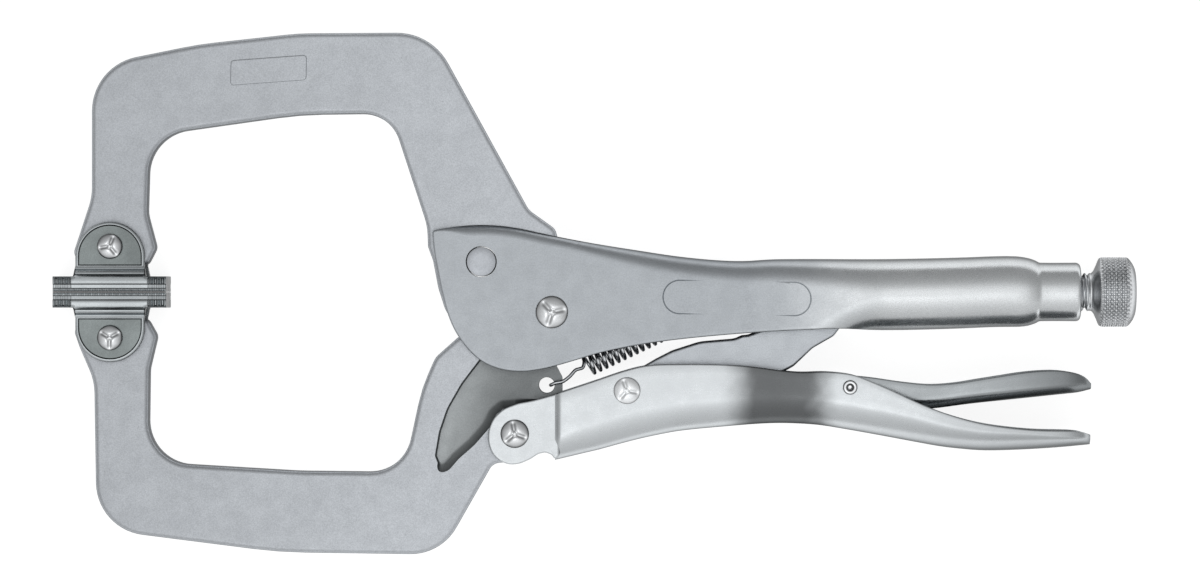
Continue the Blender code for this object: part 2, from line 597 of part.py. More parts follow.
# --------------------------------------------------------------------- pads
def pad(name, pivot, facing):
    """Swivel pad: a plate with an ear on each side of the jaw's tip.  Facing is
    -1 when the plate lies below its pivot and 1 when it lies above."""
    u, v = pivot
    ear = [(u - EAR_R, v + facing * (PAD_BACK + 1.5), 0.0),
           *[(u + EAR_R * math.cos(math.radians(a)),
              v + facing * EAR_CENTRE - facing * EAR_R * math.sin(math.radians(a)), 0.0)
             for a in range(180, -1, -15)],
           (u + EAR_R, v + facing * (PAD_BACK + 1.5), 0.0)]
    obj = finish(name, plate(outline(ear), -EAR_OUTER, EAR_OUTER, 0.5), pivot,
                 POLISHED, 0.2)
    low, high = sorted((v + facing * PAD_BACK, v + facing * PAD_FACE))
    face = outline([(u - PAD_HALF_LENGTH, low, 0.7), (u + PAD_HALF_LENGTH, low, 0.7),
                    (u + PAD_HALF_LENGTH, high, 0.7), (u - PAD_HALF_LENGTH, high, 0.7)])
    combine(obj, "add_" + name + "_plate", plate(face, -HALF_DEPTH, HALF_DEPTH), "UNION")
    low, high = sorted((v + facing * PAD_BACK, v - facing * 20.0))
    combine(obj, "cut_" + name + "_slot", box(u - 20.0, u + 20.0, low, high,
                                             -EAR_INNER, EAR_INNER))
    combine(obj, "cut_" + name + "_bore", pin(pivot, PAD_RIVET[0] + PIN_GAP))


# -------------------------------------------------------------------- rivets
def rivets():
    rivet("main_pivot_rivet", MAIN_PIVOT, MAIN_RIVET, MAIN_PIVOT, POLISHED, 0.2)
    rivet("handle_pivot_rivet", HANDLE_PIVOT, HANDLE_RIVET, HANDLE_PIVOT, POLISHED, 0.2)
    rivet("toggle_link_rivet", LINK_PIVOT, LINK_RIVET, HANDLE_PIVOT, POLISHED, 0.2)
    rivet("upper_pad_rivet", UPPER_PAD_PIVOT, PAD_RIVET, UPPER_PAD_PIVOT, POLISHED, 0.2)
    rivet("lower_pad_rivet", LOWER_PAD_PIVOT, PAD_RIVET, LOWER_PAD_PIVOT, POLISHED, 0.2)
    # flush rivet: its ends lie just under the handle's sides
    flush = UPPER_FRONT_HALF - 0.05
    finish("upper_jaw_rivet",
           turned([(0, -flush), (JAW_RIVET_R, -flush), (JAW_RIVET_R, flush), (0, flush)],
                  JAW_RIVET), JAW_RIVET, NICKEL, 0.36)
    # hollow rivet: rolled edge on each side, bored at both ends
    shank, head, under, top = RELEASE_RIVET
    bore = 0.75
    half = [(shank, under), (head, under), (head, under + 0.3), (head - 0.4, top),
            (bore, top - 0.05), (bore, 4.0), (0, 4.0)]
    profile = [(r, -z) for r, z in reversed(half)] + half
    finish("release_lever_rivet", turned(profile, RELEASE_PIVOT, 16), RELEASE_PIVOT,
           DARK_NICKEL, 0.3)


clear_scene()
upper_jaw()
lower_jaw()
upper_handle()
lower_handle()
release_lever()
toggle_link()
adjusting_screw()
tension_spring()
pad("upper_pad", UPPER_PAD_PIVOT, -1)
pad("lower_pad", LOWER_PAD_PIVOT, 1)
rivets()
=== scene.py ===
import math

import bmesh
import bpy
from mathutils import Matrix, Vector

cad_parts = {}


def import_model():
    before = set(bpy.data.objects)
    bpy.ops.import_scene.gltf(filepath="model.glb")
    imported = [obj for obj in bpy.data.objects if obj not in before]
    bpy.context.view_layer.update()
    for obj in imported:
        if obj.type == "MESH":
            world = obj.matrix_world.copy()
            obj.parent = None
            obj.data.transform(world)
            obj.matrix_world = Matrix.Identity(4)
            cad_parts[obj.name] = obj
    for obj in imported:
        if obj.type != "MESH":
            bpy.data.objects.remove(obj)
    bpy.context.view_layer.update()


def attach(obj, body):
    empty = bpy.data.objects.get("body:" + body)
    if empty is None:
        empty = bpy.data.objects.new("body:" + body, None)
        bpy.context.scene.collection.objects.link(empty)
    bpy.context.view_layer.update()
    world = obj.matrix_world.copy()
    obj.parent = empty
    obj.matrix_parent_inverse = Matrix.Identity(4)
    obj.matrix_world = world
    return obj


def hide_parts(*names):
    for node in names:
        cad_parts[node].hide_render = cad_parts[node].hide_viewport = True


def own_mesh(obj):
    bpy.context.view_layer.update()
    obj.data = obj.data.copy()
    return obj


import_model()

# Drawing coordinates (u, v, z) are millimetres from the main pivot, as in the
# design: u toward the adjusting screw, v toward the upper jaw, z = 0 on the
# tool's middle plane.
MM = 0.001
CU, CV, CH = 11.03, 4.73, 9.05

MAIN = (0.0, 0.0)
HANDLE = (-9.4, -30.9)
LINK = (19.1, -19.9)
RELEASE = (75.7, -19.1)
PAD_UP = (-112.2, 16.7)
PAD_LOW = (-112.2, -6.5)
FLUSH = (-17.9, 12.8)
SPRING_HOLE = (-1.3, -18.6)
SPRING_ANCHOR = (47.9, 4.8)
SCREW_V = 5.1


def world(u, v, z=0.0):
    return Vector(((u - CU) * MM, (v - CV) * MM, (z + CH) * MM))


# --------------------------------------------------------------------- camera
cam_data = bpy.data.cameras.new("camera")
cam_data.lens = 180.0
cam_data.sensor_width = 36.0
cam_data.clip_start = 0.05
cam_data.clip_end = 20.0
camera = bpy.data.objects.new("camera", cam_data)
camera.location = (0.00121, -0.00014, 1.53 + 0.009)
camera.rotation_euler = (0.0, 0.0, 0.0)
bpy.context.scene.collection.objects.link(camera)
bpy.context.scene.camera = camera


# -------------------------------------------------------------------- outlines
def outline(corners, step=6.0):
    """Closed outline from corners (u, v, radius); counter-clockwise."""
    points = []
    count = len(corners)
    for i, (u, v, radius) in enumerate(corners):
        here = Vector((u, v))
        before = Vector(corners[i - 1][:2]) - here
        after = Vector(corners[(i + 1) % count][:2]) - here
        reach = 0.48 * min(before.length, after.length)
        before.normalize()
        after.normalize()
        inner = math.acos(max(-1.0, min(1.0, before.dot(after))))
        turn = math.pi - inner
        if radius <= 0.0 or turn < math.radians(0.5):
            points.append(here)
            continue
        tangent = min(radius / math.tan(inner / 2), reach)
        radius = tangent * math.tan(inner / 2)
        middle = here + (before + after).normalized() * (radius / math.sin(inner / 2))
        first = here + before * tangent - middle
        sweep = first.angle_signed(here + after * tangent - middle)
        pieces = max(2, math.ceil(math.degrees(turn) / step))
        for k in range(pieces + 1):
            a = -sweep * k / pieces
            c, s = math.cos(a), math.sin(a)
            points.append(middle + Vector((first.x * c - first.y * s, first.x * s + first.y * c)))
    return clean(points)


def clean(points, least=0.02):
    """Drops points that repeat, and turns the outline counter-clockwise."""
    kept = []
    for p in points:
        if not kept or (p - kept[-1]).length > least:
            kept.append(p)
    if (kept[0] - kept[-1]).length <= least:
        kept.pop()
    area = sum(kept[i - 1].x * kept[i].y - kept[i].x * kept[i - 1].y for i in range(len(kept)))
    return kept if area > 0 else kept[::-1]


def arc(centre, radius, start, end, step=6.0):
    count = max(1, math.ceil(abs(end - start) / step))
    return [(centre[0] + radius * math.cos(math.radians(start + (end - start) * i / count)),
             centre[1] + radius * math.sin(math.radians(start + (end - start) * i / count)), 0.0)
            for i in range(count + 1)]


def tangent_angle(point, centre, radius, side):
    du, dv = point[0] - centre[0], point[1] - centre[1]
    return math.degrees(math.atan2(dv, du)
                        + side * math.acos(radius / math.hypot(du, dv))) % 360.0


def spline(points, pieces=8):
    """Smooth line through points (Catmull-Rom, chord length)."""
    pts = [Vector(p) for p in points]
    pts = [pts[0] * 2 - pts[1]] + pts + [pts[-1] * 2 - pts[-2]]
    line = []
    for i in range(1, len(pts) - 2):
        p0, p1, p2, p3 = pts[i - 1:i + 3]
        t01 = max(1e-6, (p1 - p0).length ** 0.5)
        t12 = max(1e-6, (p2 - p1).length ** 0.5)
        t23 = max(1e-6, (p3 - p2).length ** 0.5)
        m1 = (p2 - p1 + t12 * ((p1 - p0) / t01 - (p2 - p0) / (t01 + t12)))
        m2 = (p2 - p1 + t12 * ((p3 - p2) / t23 - (p3 - p1) / (t12 + t23)))
        for k in range(pieces):
            t = k / pieces
            a = 2 * (p1 - p2) + m1 + m2
            b = -3 * (p1 - p2) - 2 * m1 - m2
            line.append(a * t ** 3 + b * t ** 2 + m1 * t + p1)
    line.append(pts[-2])
    return line


def table(points, pieces=8):
    """A smooth line read as a function of u."""
    line = spline(points, pieces)

    def value(u):
        if u <= line[0].x:
            return line[0].y
        for a, b in zip(line, line[1:]):
            if u <= b.x:
                s = (u - a.x) / max(1e-9, b.x - a.x)
                return a.y + (b.y - a.y) * s
        return line[-1].y
    return value


def smooth(low, high, x):
    t = max(0.0, min(1.0, (x - low) / (high - low)))
    return t * t * (3 - 2 * t)


def mix(a, b, s):
    return a + (b - a) * s


def inset(points, distance, closed=True):
    """The line moved to its left; distance is one number or one for each point."""
    moved = []
    count = len(points)
    for i in range(count):
        d = distance[i] if isinstance(distance, list) else distance
        edges = []
        if closed or i > 0:
            edges.append((points[i] - points[i - 1]).normalized())
        if closed or i < count - 1:
            edges.append((points[(i + 1) % count] - points[i]).normalized())
        normals = [Vector((-e.y, e.x)) for e in edges]
        if len(normals) == 1:
            moved.append(points[i] + normals[0] * d)
        else:
            both = normals[0] + normals[1]
            moved.append(points[i] + both * (d / max(0.35, 1 + normals[0].dot(normals[1]))))
    return moved


# --------------------------------------------------------------------- meshes
def skin(rings, folded=0):
    """Closed body through rings.  folded is the number of points on the outer
    line of a folded sheet's ring; its two ends are then closed by a strip."""
    bm = bmesh.new()
    loops = [[bm.verts.new(p) for p in ring] for ring in rings]
    for low, high in zip(loops, loops[1:]):
        for i in range(len(low)):
            j = (i + 1) % len(low)
            bm.faces.new((low[i], low[j], high[j], high[i]))
    for end in (loops[0], loops[-1]):
        if not folded:
            bm.faces.new(end)
            continue
        rim = (len(end) - 2 * folded) // 2
        outer = end[:folded]
        inner = end[folded + rim:2 * folded + rim][::-1]
        for i in range(folded - 1):
            bm.faces.new((outer[i], outer[i + 1], inner[i + 1], inner[i]))
        bm.faces.new(end[folded - 1:folded + rim + 1])
        bm.faces.new(end[2 * folded + rim - 1:] + [end[0]])
    if folded:
        bmesh.ops.triangulate(bm, faces=bm.faces)
    bmesh.ops.recalc_face_normals(bm, faces=bm.faces)
    return bm


def slab(points, low, high, top_r, base_r=None, steps=5):
    """Flat plate with rounded rims.  A rim's radius is one number or one for
    each point; a narrow flat ring inside each rim keeps the faces flat."""
    base_r = top_r if base_r is None else base_r
    count = len(points)
    top = top_r if isinstance(top_r, list) else [top_r] * count
    base = base_r if isinstance(base_r, list) else [base_r] * count

    def ring(radii, angle, side, extra=0.0):
        a = math.radians(angle)
        moved = inset(points, [r * (1 - math.cos(a)) + extra for r in radii])
        out = []
        for p, r in zip(moved, radii):
            lift = r * (1 - math.sin(a))
            out.append((p.x, p.y, high - lift if side > 0 else low + lift))
        return out
    rings = [ring(base, 90, -1, 0.12)]
    rings += [ring(base, 90 * (1 - k / steps), -1) for k in range(steps + 1)]
    rings += [ring(top, 90 * k / steps, 1) for k in range(steps + 1)]
    rings.append(ring(top, 90, 1, 0.12))
    return skin(rings)


def turned(profile, centre, segments=48, along="z", phase=0.0):
    bm = bmesh.new()
    rings = []
    for radius, position in profile:
        ring = []
        for k in range(segments if radius > 0 else 1):
            a = 2 * math.pi * (k + phase) / segments
            c, s = radius * math.cos(a), radius * math.sin(a)
            ring.append(bm.verts.new((centre[0] + c, centre[1] + s, position) if along == "z"
                                     else (position, centre[0] + c, centre[1] + s)))
        rings.append(ring)
    for low, high in zip(rings, rings[1:]):
        for k in range(segments):
            n = (k + 1) % segments
            if len(low) == 1:
                bm.faces.new((low[0], high[n], high[k]))
            elif len(high) == 1:
                bm.faces.new((low[k], low[n], high[0]))
            else:
                bm.faces.new((low[k], low[n], high[n], high[k]))
    bmesh.ops.recalc_face_normals(bm, faces=bm.faces)
    return bm


def wire(path, radius, sides=12):
    rings = []
    pts = [Vector(p) for p in path]
    normal = None
    for i, p in enumerate(pts):
        heading = (pts[min(i + 1, len(pts) - 1)] - pts[max(i - 1, 0)]).normalized()
        if normal is None:
            normal = heading.orthogonal().normalized()
        normal = (normal - heading * normal.dot(heading)).normalized()
        side = heading.cross(normal)
        grow = 1.0
        if i == 0 or i == len(pts) - 1:
            grow = 0.72
        rings.append([p + (normal * math.cos(2 * math.pi * k / sides)
                           + side * math.sin(2 * math.pi * k / sides)) * radius * grow
                      for k in range(sides)])
    return skin(rings)


def put(name, bm):
    """The body as an object, its mesh in metres in the row frame."""
    for vert in bm.verts:
        vert.co = world(*vert.co)
    mesh = bpy.data.meshes.new(name)
    bm.to_mesh(mesh)
    bm.free()
    obj = bpy.data.objects.new(name, mesh)
    bpy.context.scene.collection.objects.link(obj)
    return obj


def boolean(obj, bm, operation="DIFFERENCE"):
    """Cuts or joins a second body, and keeps the result as the object's mesh."""
    tool = put("boolean_tool", bm)
    step = obj.modifiers.new("boolean", "BOOLEAN")
    step.operation = operation
    step.solver = "EXACT"
    step.object = tool
    bpy.context.view_layer.update()
    depsgraph = bpy.context.evaluated_depsgraph_get()
    result = bpy.data.meshes.new_from_object(obj.evaluated_get(depsgraph))
    obj.modifiers.clear()
    old = obj.data
    obj.data = result
    result.name = obj.name
    bpy.data.meshes.remove(old)
    data = tool.data
    bpy.data.objects.remove(tool)
    bpy.data.meshes.remove(data)


def take(obj, other):
    """Adds a second closed piece's mesh to the first, and removes the second."""
    bm = bmesh.new()
    bm.from_mesh(obj.data)
    bm.from_mesh(other.data)
    bm.to_mesh(obj.data)
    bm.free()
    data = other.data
    bpy.data.objects.remove(other)
    bpy.data.meshes.remove(data)


def shade(obj, angle=38.0):
    bm = bmesh.new()
    bm.from_mesh(obj.data)
    bmesh.ops.remove_doubles(bm, verts=bm.verts, dist=0.000002)
    bmesh.ops.recalc_face_normals(bm, faces=bm.faces)
    bm.to_mesh(obj.data)
    bm.free()
    obj.data.shade_smooth()
    obj.data.set_sharp_from_angle(angle=math.radians(angle))


def bore(centre, radius, half=14.0, segments=40):
    return turned([(0, -half), (radius, -half), (radius, half), (0, half)], centre, segments)


def done(obj, node, body, material, angle=38.0):
    shade(obj, angle)
    obj.data.materials.clear()
    obj.data.materials.append(material)
    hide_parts(node)
    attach(obj, body)
    return obj


# ------------------------------------------------------------------ materials
class Nodes:
    """Short hand for a material's node tree."""

    def __init__(self, name):
        self.material = bpy.data.materials.new(name)
        self.material.use_nodes = True
        self.tree = self.material.node_tree
        self.shader = self.tree.nodes["Principled BSDF"]
        coord = self.tree.nodes.new("ShaderNodeTexCoord")
        self.place = coord.outputs["Object"]

    def new(self, kind, **values):
        node = self.tree.nodes.new(kind)
        for key, value in values.items():
            setattr(node, key, value)
        return node

    def link(self, a, b):
        self.tree.links.new(a, b)

    def stretched(self, scale, turn=0.0):
        node = self.new("ShaderNodeMapping")
        node.inputs["Scale"].default_value = scale
        node.inputs["Rotation"].default_value = (0.0, 0.0, turn)
        self.link(self.place, node.inputs["Vector"])
        return node.outputs["Vector"]

    def noise(self, scale, detail=3.0, rough=0.55, where=None):
        node = self.new("ShaderNodeTexNoise")
        node.inputs["Scale"].default_value = scale
        node.inputs["Detail"].default_value = detail
        node.inputs["Roughness"].default_value = rough
        self.link(where or self.place, node.inputs["Vector"])
        return node.outputs["Fac"]

    def voronoi(self, scale, where=None):
        node = self.new("ShaderNodeTexVoronoi")
        node.inputs["Scale"].default_value = scale
        self.link(where or self.place, node.inputs["Vector"])
        return node.outputs["Distance"]

    def span(self, value, low, high, out_low, out_high):
        node = self.new("ShaderNodeMapRange")
        node.interpolation_type = "SMOOTHSTEP"
        for name, number in (("From Min", low), ("From Max", high),
                             ("To Min", out_low), ("To Max", out_high)):
            node.inputs[name].default_value = number
        self.link(value, node.inputs["Value"])
        return node.outputs["Result"]

    def maths(self, operation, a, b):
        node = self.new("ShaderNodeMath", operation=operation)
        for socket, value in zip(node.inputs, (a, b)):
            if isinstance(value, (int, float)):
                socket.default_value = value
            else:
                self.link(value, socket)
        return node.outputs["Value"]

    def colours(self, factor, a, b):
        node = self.new("ShaderNodeMix", data_type="RGBA")
        self.link(factor, node.inputs["Factor"])
        for socket, value in ((node.inputs[6], a), (node.inputs[7], b)):
            if isinstance(value, tuple):
                socket.default_value = (*value, 1.0)
            else:
                self.link(value, socket)
        return node.outputs[2]

    def bump(self, height, strength, distance, after=None):
        node = self.new("ShaderNodeBump")
        node.inputs["Strength"].default_value = strength
        node.inputs["Distance"].default_value = distance
        self.link(height, node.inputs["Height"])
        if after is not None:
            self.link(after, node.inputs["Normal"])
        return node.outputs["Normal"]


def tone(rgb, factor):
    return tuple(min(1.0, c * factor) for c in rgb)


def plated_metal(name, rgb, rough, grain=0.5, mottle=0.08, brush=None, pits=0.0, along_u=None,
                 side=0.45, painted_reflection_band=None, slope=None, rim=(0.20, 0.66), relief=0.12):
    """Plated steel: a base colour that varies in large soft patches and in a
    fine grain, roughness that varies with them, and a fine bump.  brush is
    the direction of fine drawn scratches, pits sets sparse dark specks, and
    along_u = (u0, u1, rgb, rough) blends to a second finish along the tool,
    whose brighter colour is partly a painted highlight.  side is how dark the
    steep sides and rims are painted beside the faces (painted shade), patch =
    (u, width, factor) is a painted dark reflection band across the part, and
    slope = (u0, u1, low, high) is a slow change of tone along it.  rim is the
    steepness range over which the painted shade of the sides begins, and relief
    is the bump strength."""
    n = Nodes(name)
    patches = n.noise(55.0, 3.0, 0.6)
    cloud = n.noise(260.0, 3.0, 0.6)
    fine = n.noise(3600.0, 2.0, 0.6)
    dark, light = tone(rgb, 1 - mottle * 1.3), tone(rgb, 1 + mottle)
    colour = n.colours(n.span(patches, 0.3, 0.7, 0.0, 1.0), dark, light)
    rough_value = n.span(cloud, 0.3, 0.7, rough - 0.025, rough + 0.03)
    # the second finish: its own roughness, and a brighter colour that is partly a painted highlight
    if along_u:
        u0, u1, second, second_rough = along_u
        split = n.new("ShaderNodeSeparateXYZ")
        n.link(n.place, split.inputs["Vector"])
        wander = n.maths("ADD", split.outputs["X"],
                         n.maths("MULTIPLY", n.maths("SUBTRACT", patches, 0.5), 0.02))
        share = n.span(wander, (u0 - CU) * MM, (u1 - CU) * MM, 0.0, 1.0)
        other = n.colours(n.span(patches, 0.3, 0.7, 0.0, 1.0), tone(second, 1 - mottle),
                          tone(second, 1 + mottle))
        colour = n.colours(share, colour, other)
        gap = n.maths("MULTIPLY", share, second_rough - rough)
        rough_value = n.maths("ADD", rough_value, gap)
    # fine speckle of the plating
    speck = n.span(fine, 0.28, 0.72, 1 - 0.10 * grain, 1 + 0.08 * grain)
    scaled = n.new("ShaderNodeVectorMath", operation="SCALE")
    n.link(colour, scaled.inputs[0])
    n.link(speck, scaled.inputs["Scale"])
    colour = scaled.outputs["Vector"]
    height = n.maths("MULTIPLY", fine, 0.6 * grain)
    height = n.maths("ADD", height, n.maths("MULTIPLY", cloud, 0.12))
    if brush is not None:
        lines = n.noise(1.0, 3.0, 0.65, n.stretched((420.0, 7800.0, 7800.0), brush))
        height = n.maths("ADD", height, n.maths("MULTIPLY", lines, 0.9))
        rough_value = n.maths("ADD", rough_value,
                              n.maths("MULTIPLY", n.maths("SUBTRACT", lines, 0.5), 0.16))
    if pits:
        holes = n.span(n.voronoi(620.0), 0.02, 0.16, 1.0, 0.0)
        where = n.span(n.noise(180.0, 2.0), 0.52, 0.62, 0.0, 1.0)
        spots = n.maths("MULTIPLY", holes, where)
        shadow = n.maths("MULTIPLY", spots, pits)
        colour = n.colours(shadow, colour, tone(rgb, 0.45))
        height = n.maths("SUBTRACT", height, n.maths("MULTIPLY", spots, 0.8))
    def scaled_by(colour, factor):
        node = n.new("ShaderNodeVectorMath", operation="SCALE")
        n.link(colour, node.inputs[0])
        n.link(factor, node.inputs["Scale"])
        return node.outputs["Vector"]
    if painted_reflection_band or slope:
        where = n.new("ShaderNodeSeparateXYZ")
        n.link(n.place, where.inputs["Vector"])
        wander = n.maths("ADD", where.outputs["X"],
                         n.maths("MULTIPLY", n.maths("SUBTRACT", patches, 0.5), 0.012))
        # painted dark reflection: a darker band across the part at u
        if painted_reflection_band:
            off = n.maths("ABSOLUTE", n.maths("SUBTRACT", wander, (painted_reflection_band[0] - CU) * MM), 0.0)
            colour = scaled_by(colour, n.span(off, painted_reflection_band[1] * 0.45 * MM, painted_reflection_band[1] * MM,
                                              painted_reflection_band[2], 1.0))
        if slope:
            colour = scaled_by(colour, n.span(wander, (slope[0] - CU) * MM, (slope[1] - CU) * MM,
                                              slope[2], slope[3]))
    # painted shade: steep sides and rims are darkened by how far the normal tilts from upright
    geometry = n.new("ShaderNodeNewGeometry")
    facing = n.new("ShaderNodeSeparateXYZ")
    n.link(geometry.outputs["Normal"], facing.inputs["Vector"])
    upright = n.maths("ABSOLUTE", facing.outputs["Z"], 0.0)
    colour = scaled_by(colour, n.span(upright, rim[0], rim[1], side, 1.0))
    n.link(colour, n.shader.inputs["Base Color"])
    n.link(rough_value, n.shader.inputs["Roughness"])
    n.link(n.bump(height, relief, 0.00006), n.shader.inputs["Normal"])
    n.shader.inputs["Metallic"].default_value = 1.0
    n.shader.inputs["Specular Tint"].default_value = (0.45, 0.45, 0.45, 1.0)
    return n.material


JAW = plated_metal("jaw_nickel", (0.53, 0.556, 0.588), 0.44, grain=1.3, mottle=0.018, pits=0.35,
                   side=0.42, relief=0.2, slope=(-125.0, -10.0, 0.92, 1.06))
# painted shade in the jaw's recess: darker toward the pivot end and, by steepness, on its ramp
JAW_RECESS_SHADE = plated_metal("jaw_recess_painted_shade", (0.50, 0.53, 0.54), 0.5, grain=1.0, mottle=0.04, pits=0.3,
                          side=0.42, rim=(0.55, 0.95), slope=(-27.0, -9.0, 0.95, 0.55))
# toward the tube the handle blends to a smoother finish whose brighter colour is partly a painted highlight
HANDLE_METAL = plated_metal("handle_nickel", (0.435, 0.462, 0.489), 0.36, grain=1.0, mottle=0.018,
                            brush=0.0, along_u=(48.0, 92.0, (0.72, 0.745, 0.76), 0.25), side=0.4)
# the lower handle's darker band near u 58 is a painted dark reflection
BRIGHT = plated_metal("bright_nickel", (0.65, 0.68, 0.70), 0.29, grain=0.5, mottle=0.02,
                      brush=-0.1, side=0.4, painted_reflection_band=(58.5, 15.5, 0.24),
                      slope=(80.0, 125.0, 1.0, 0.8))
LINK_METAL = plated_metal("link_nickel", (0.52, 0.55, 0.582), 0.38, grain=1.2, mottle=0.025,
                          brush=0.35, side=0.4)
LEVER_METAL = plated_metal("lever_nickel", (0.40, 0.425, 0.44), 0.28, grain=0.5, mottle=0.03,
                           brush=0.05, side=0.4, slope=(104.0, 136.0, 1.0, 0.62))
# painted shade: the rivet domes darken strongly toward their rims, a dark ring round each head
RIVET = plated_metal("rivet_bright", (0.86, 0.88, 0.90), 0.13, grain=0.4, mottle=0.05, side=0.16,
                     rim=(0.70, 0.965), relief=0.06)
FLUSH_METAL = plated_metal("flush_rivet", (0.50, 0.525, 0.56), 0.38, grain=0.9, mottle=0.05)
PAD_METAL = plated_metal("pad_bright", (0.46, 0.49, 0.505), 0.24, grain=0.8, mottle=0.08,
                         side=0.3, rim=(0.3, 0.8))
# painted dark reflection: the pads' recessed ear faces get a darker colour
PAD_EAR_REFLECTION = plated_metal("pad_ear_painted_reflection", (0.225, 0.25, 0.25), 0.26, grain=1.0, mottle=0.16, side=0.4)
KNOB_METAL = plated_metal("knurled_nickel", (0.80, 0.82, 0.84), 0.3, grain=0.8, mottle=0.08,
                          side=0.5)
SPRING_METAL = plated_metal("spring_wire", (0.60, 0.62, 0.64), 0.22, grain=0.4, mottle=0.08,
                            side=0.5)


# ------------------------------------------------------------------ upper jaw
def make_upper_jaw():
    heel = (-24.0, -4.8)
    touch = tangent_angle(heel, MAIN, 10.2, -1)
    line = outline([
        (-100.7, 16.3, 2.5), (-103.0, 25.0, 8.0), (-102.4, 44.9, 13.5),
        (-64.3, 50.3, 90.0), (-41.1, 50.6, 9.7), (-31.7, 21.9, 15.3),
        (-31.5, 16.6, 1.6), (-30.2, 13.0, 4.0), (-28.9, 6.1, 12.0), (-27.2, 0.8, 6.0),
        (*heel, 1.5),
        *arc(MAIN, 10.2, touch, 50.0),
        (12.0, 8.0, 2.0), (15.3, 8.0, 1.4), (15.3, 12.6, 1.4),
        (2.3, 15.4, 1.6), (1.6, 18.4, 1.6), (0.8, 21.2, 2.5),
        (-5.9, 26.0, 5.6), (-30.7, 71.1, 14.8), (-64.3, 70.9, 60.0),
        (-89.8, 68.1, 90.0), (-117.0, 62.6, 14.0), (-117.0, 29.3, 15.3),
        (-120.4, 18.9, 10.2), (-121.6, 15.3, 2.2), (-120.6, 12.2, 2.5),
        (-115.0, 9.7, 2.2), (-109.4, 9.7, 2.2), (-102.8, 12.2, 2.5)])
    obj = put("upper_jaw_forging", slab(line, -4.75, 4.75, 1.15))
    # blank raised label plate on each face, tilted with the arm
    label = outline([(-81.8, 57.6, 0.9), (-62.4, 59.0, 0.9), (-62.3, 65.4, 0.9),
                     (-81.6, 64.0, 0.9)])
    for side in (1, -1):
        low, high = sorted((side * 4.4, side * 5.0))
        boolean(obj, slab(label, low, high, 0.22, steps=3), "UNION")
    boolean(obj, bore(PAD_UP, 2.35))
    boolean(obj, bore(FLUSH, 3.9))
    return done(obj, "upper_jaw", "upper_handle", JAW)


# ------------------------------------------------------------------ lower jaw
RECESS = [(-28.3, -39.0, 1.3), (-29.3, -36.5, 1.3), (-28.3, -30.6, 7.7),
          (-26.3, -24.7, 9.0), (-22.7, -18.4, 9.0), (-17.6, -11.7, 1.3),
          (-12.0, -9.7, 2.5), (-5.6, -10.5, 2.5), (1.0, -9.9, 2.5),
          (7.1, -12.8, 0.0), (7.1, -20.7, 0.0), (-1.8, -22.2, 2.5),
          (-9.4, -21.9, 5.1), (-13.3, -22.2, 3.1), (-16.1, -24.5, 5.1),
          (-17.9, -28.1, 5.1), (-21.4, -32.1, 5.1), (-25.5, -35.7, 5.1)]


def make_lower_jaw():
    heel = (-23.5, -6.1)
    touch = tangent_angle(heel, MAIN, 9.2, -1)
    line = outline([
        (-100.5, -6.1, 2.5), (-102.5, -14.5, 7.7), (-102.8, -38.2, 11.2),
        (-64.3, -40.5, 90.0), (-37.7, -40.8, 10.7), (-33.1, -19.4, 60.0),
        (-29.6, -11.5, 5.1), (*heel, 1.5),
        *arc(MAIN, 9.2, touch, -74.0),
        (0.7, -12.8, 1.3), (2.7, -16.6, 1.6), (2.7, -20.4, 2.0),
        (-1.0, -30.1, 2.5), (-4.3, -36.5, 3.1), (-9.4, -38.0, 3.1),
        (-15.0, -38.5, 3.1), (-28.2, -61.7, 13.3), (-69.4, -61.1, 120.0),
        (-115.8, -55.2, 13.5), (-116.4, -17.5, 15.3), (-120.1, -9.0, 10.2),
        (-121.4, -5.2, 2.2), (-120.6, -2.0, 2.5), (-115.0, 0.5, 2.2),
        (-109.4, 0.5, 2.2), (-102.8, -2.0, 2.5)])
    obj = put("lower_jaw_forging", slab(line, -4.75, 4.75, 1.15))
    # recess on each face: a steep wall on the left, a long slope on the right
    floor = outline(RECESS, 9.0)
    for side in (1, -1):
        rings = []
        for lift, spread in ((0.0, 0.0), (0.25, 0.12), (2.2, 0.45), (4.0, 0.8)):
            ring = []
            for p, q in zip(floor, inset(floor, -1.0)):
                out = q - p
                slope = 1.0 + 4.4 * smooth(-0.2, 0.7, out.normalized().dot(Vector((0.72, -0.69)))) \
                    * smooth(-2.0, -8.0, p.x)
                s = p + out * spread * slope
                ring.append((s.x, s.y, side * (2.55 + lift)))
            rings.append(ring)
        boolean(obj, skin(rings))
    boolean(obj, bore(MAIN, 3.15))
    boolean(obj, bore(HANDLE, 2.75))
    boolean(obj, bore(PAD_LOW, 2.35))
    boolean(obj, turned([(0, -9), (4.9, -9), (2.0, -2.3), (2.0, 2.3), (4.9, 9), (0, 9)],
                        SPRING_HOLE, 36))
    done(obj, "lower_jaw", "lower_jaw", JAW)
    # the recess gets painted shade: a darker material on its floor and ramp
    obj.data.materials.append(JAW_RECESS_SHADE)
    around = [world(p.x, p.y).xy for p in inset(floor, -3.0)]
    for face in obj.data.polygons:
        c = face.center
        depth = abs(c.z / MM - CH)
        if depth > 4.7 or depth < 2.4 or abs(face.normal.z) < 0.05 and depth < 2.6:
            continue
        inside = False
        for i, a in enumerate(around):
            b = around[i - 1]
            if (a.y > c.y) != (b.y > c.y) \
                    and c.x < (b.x - a.x) * (c.y - a.y) / (b.y - a.y) + a.x:
                inside = not inside
        if inside:
            face.material_index = 1
    return obj


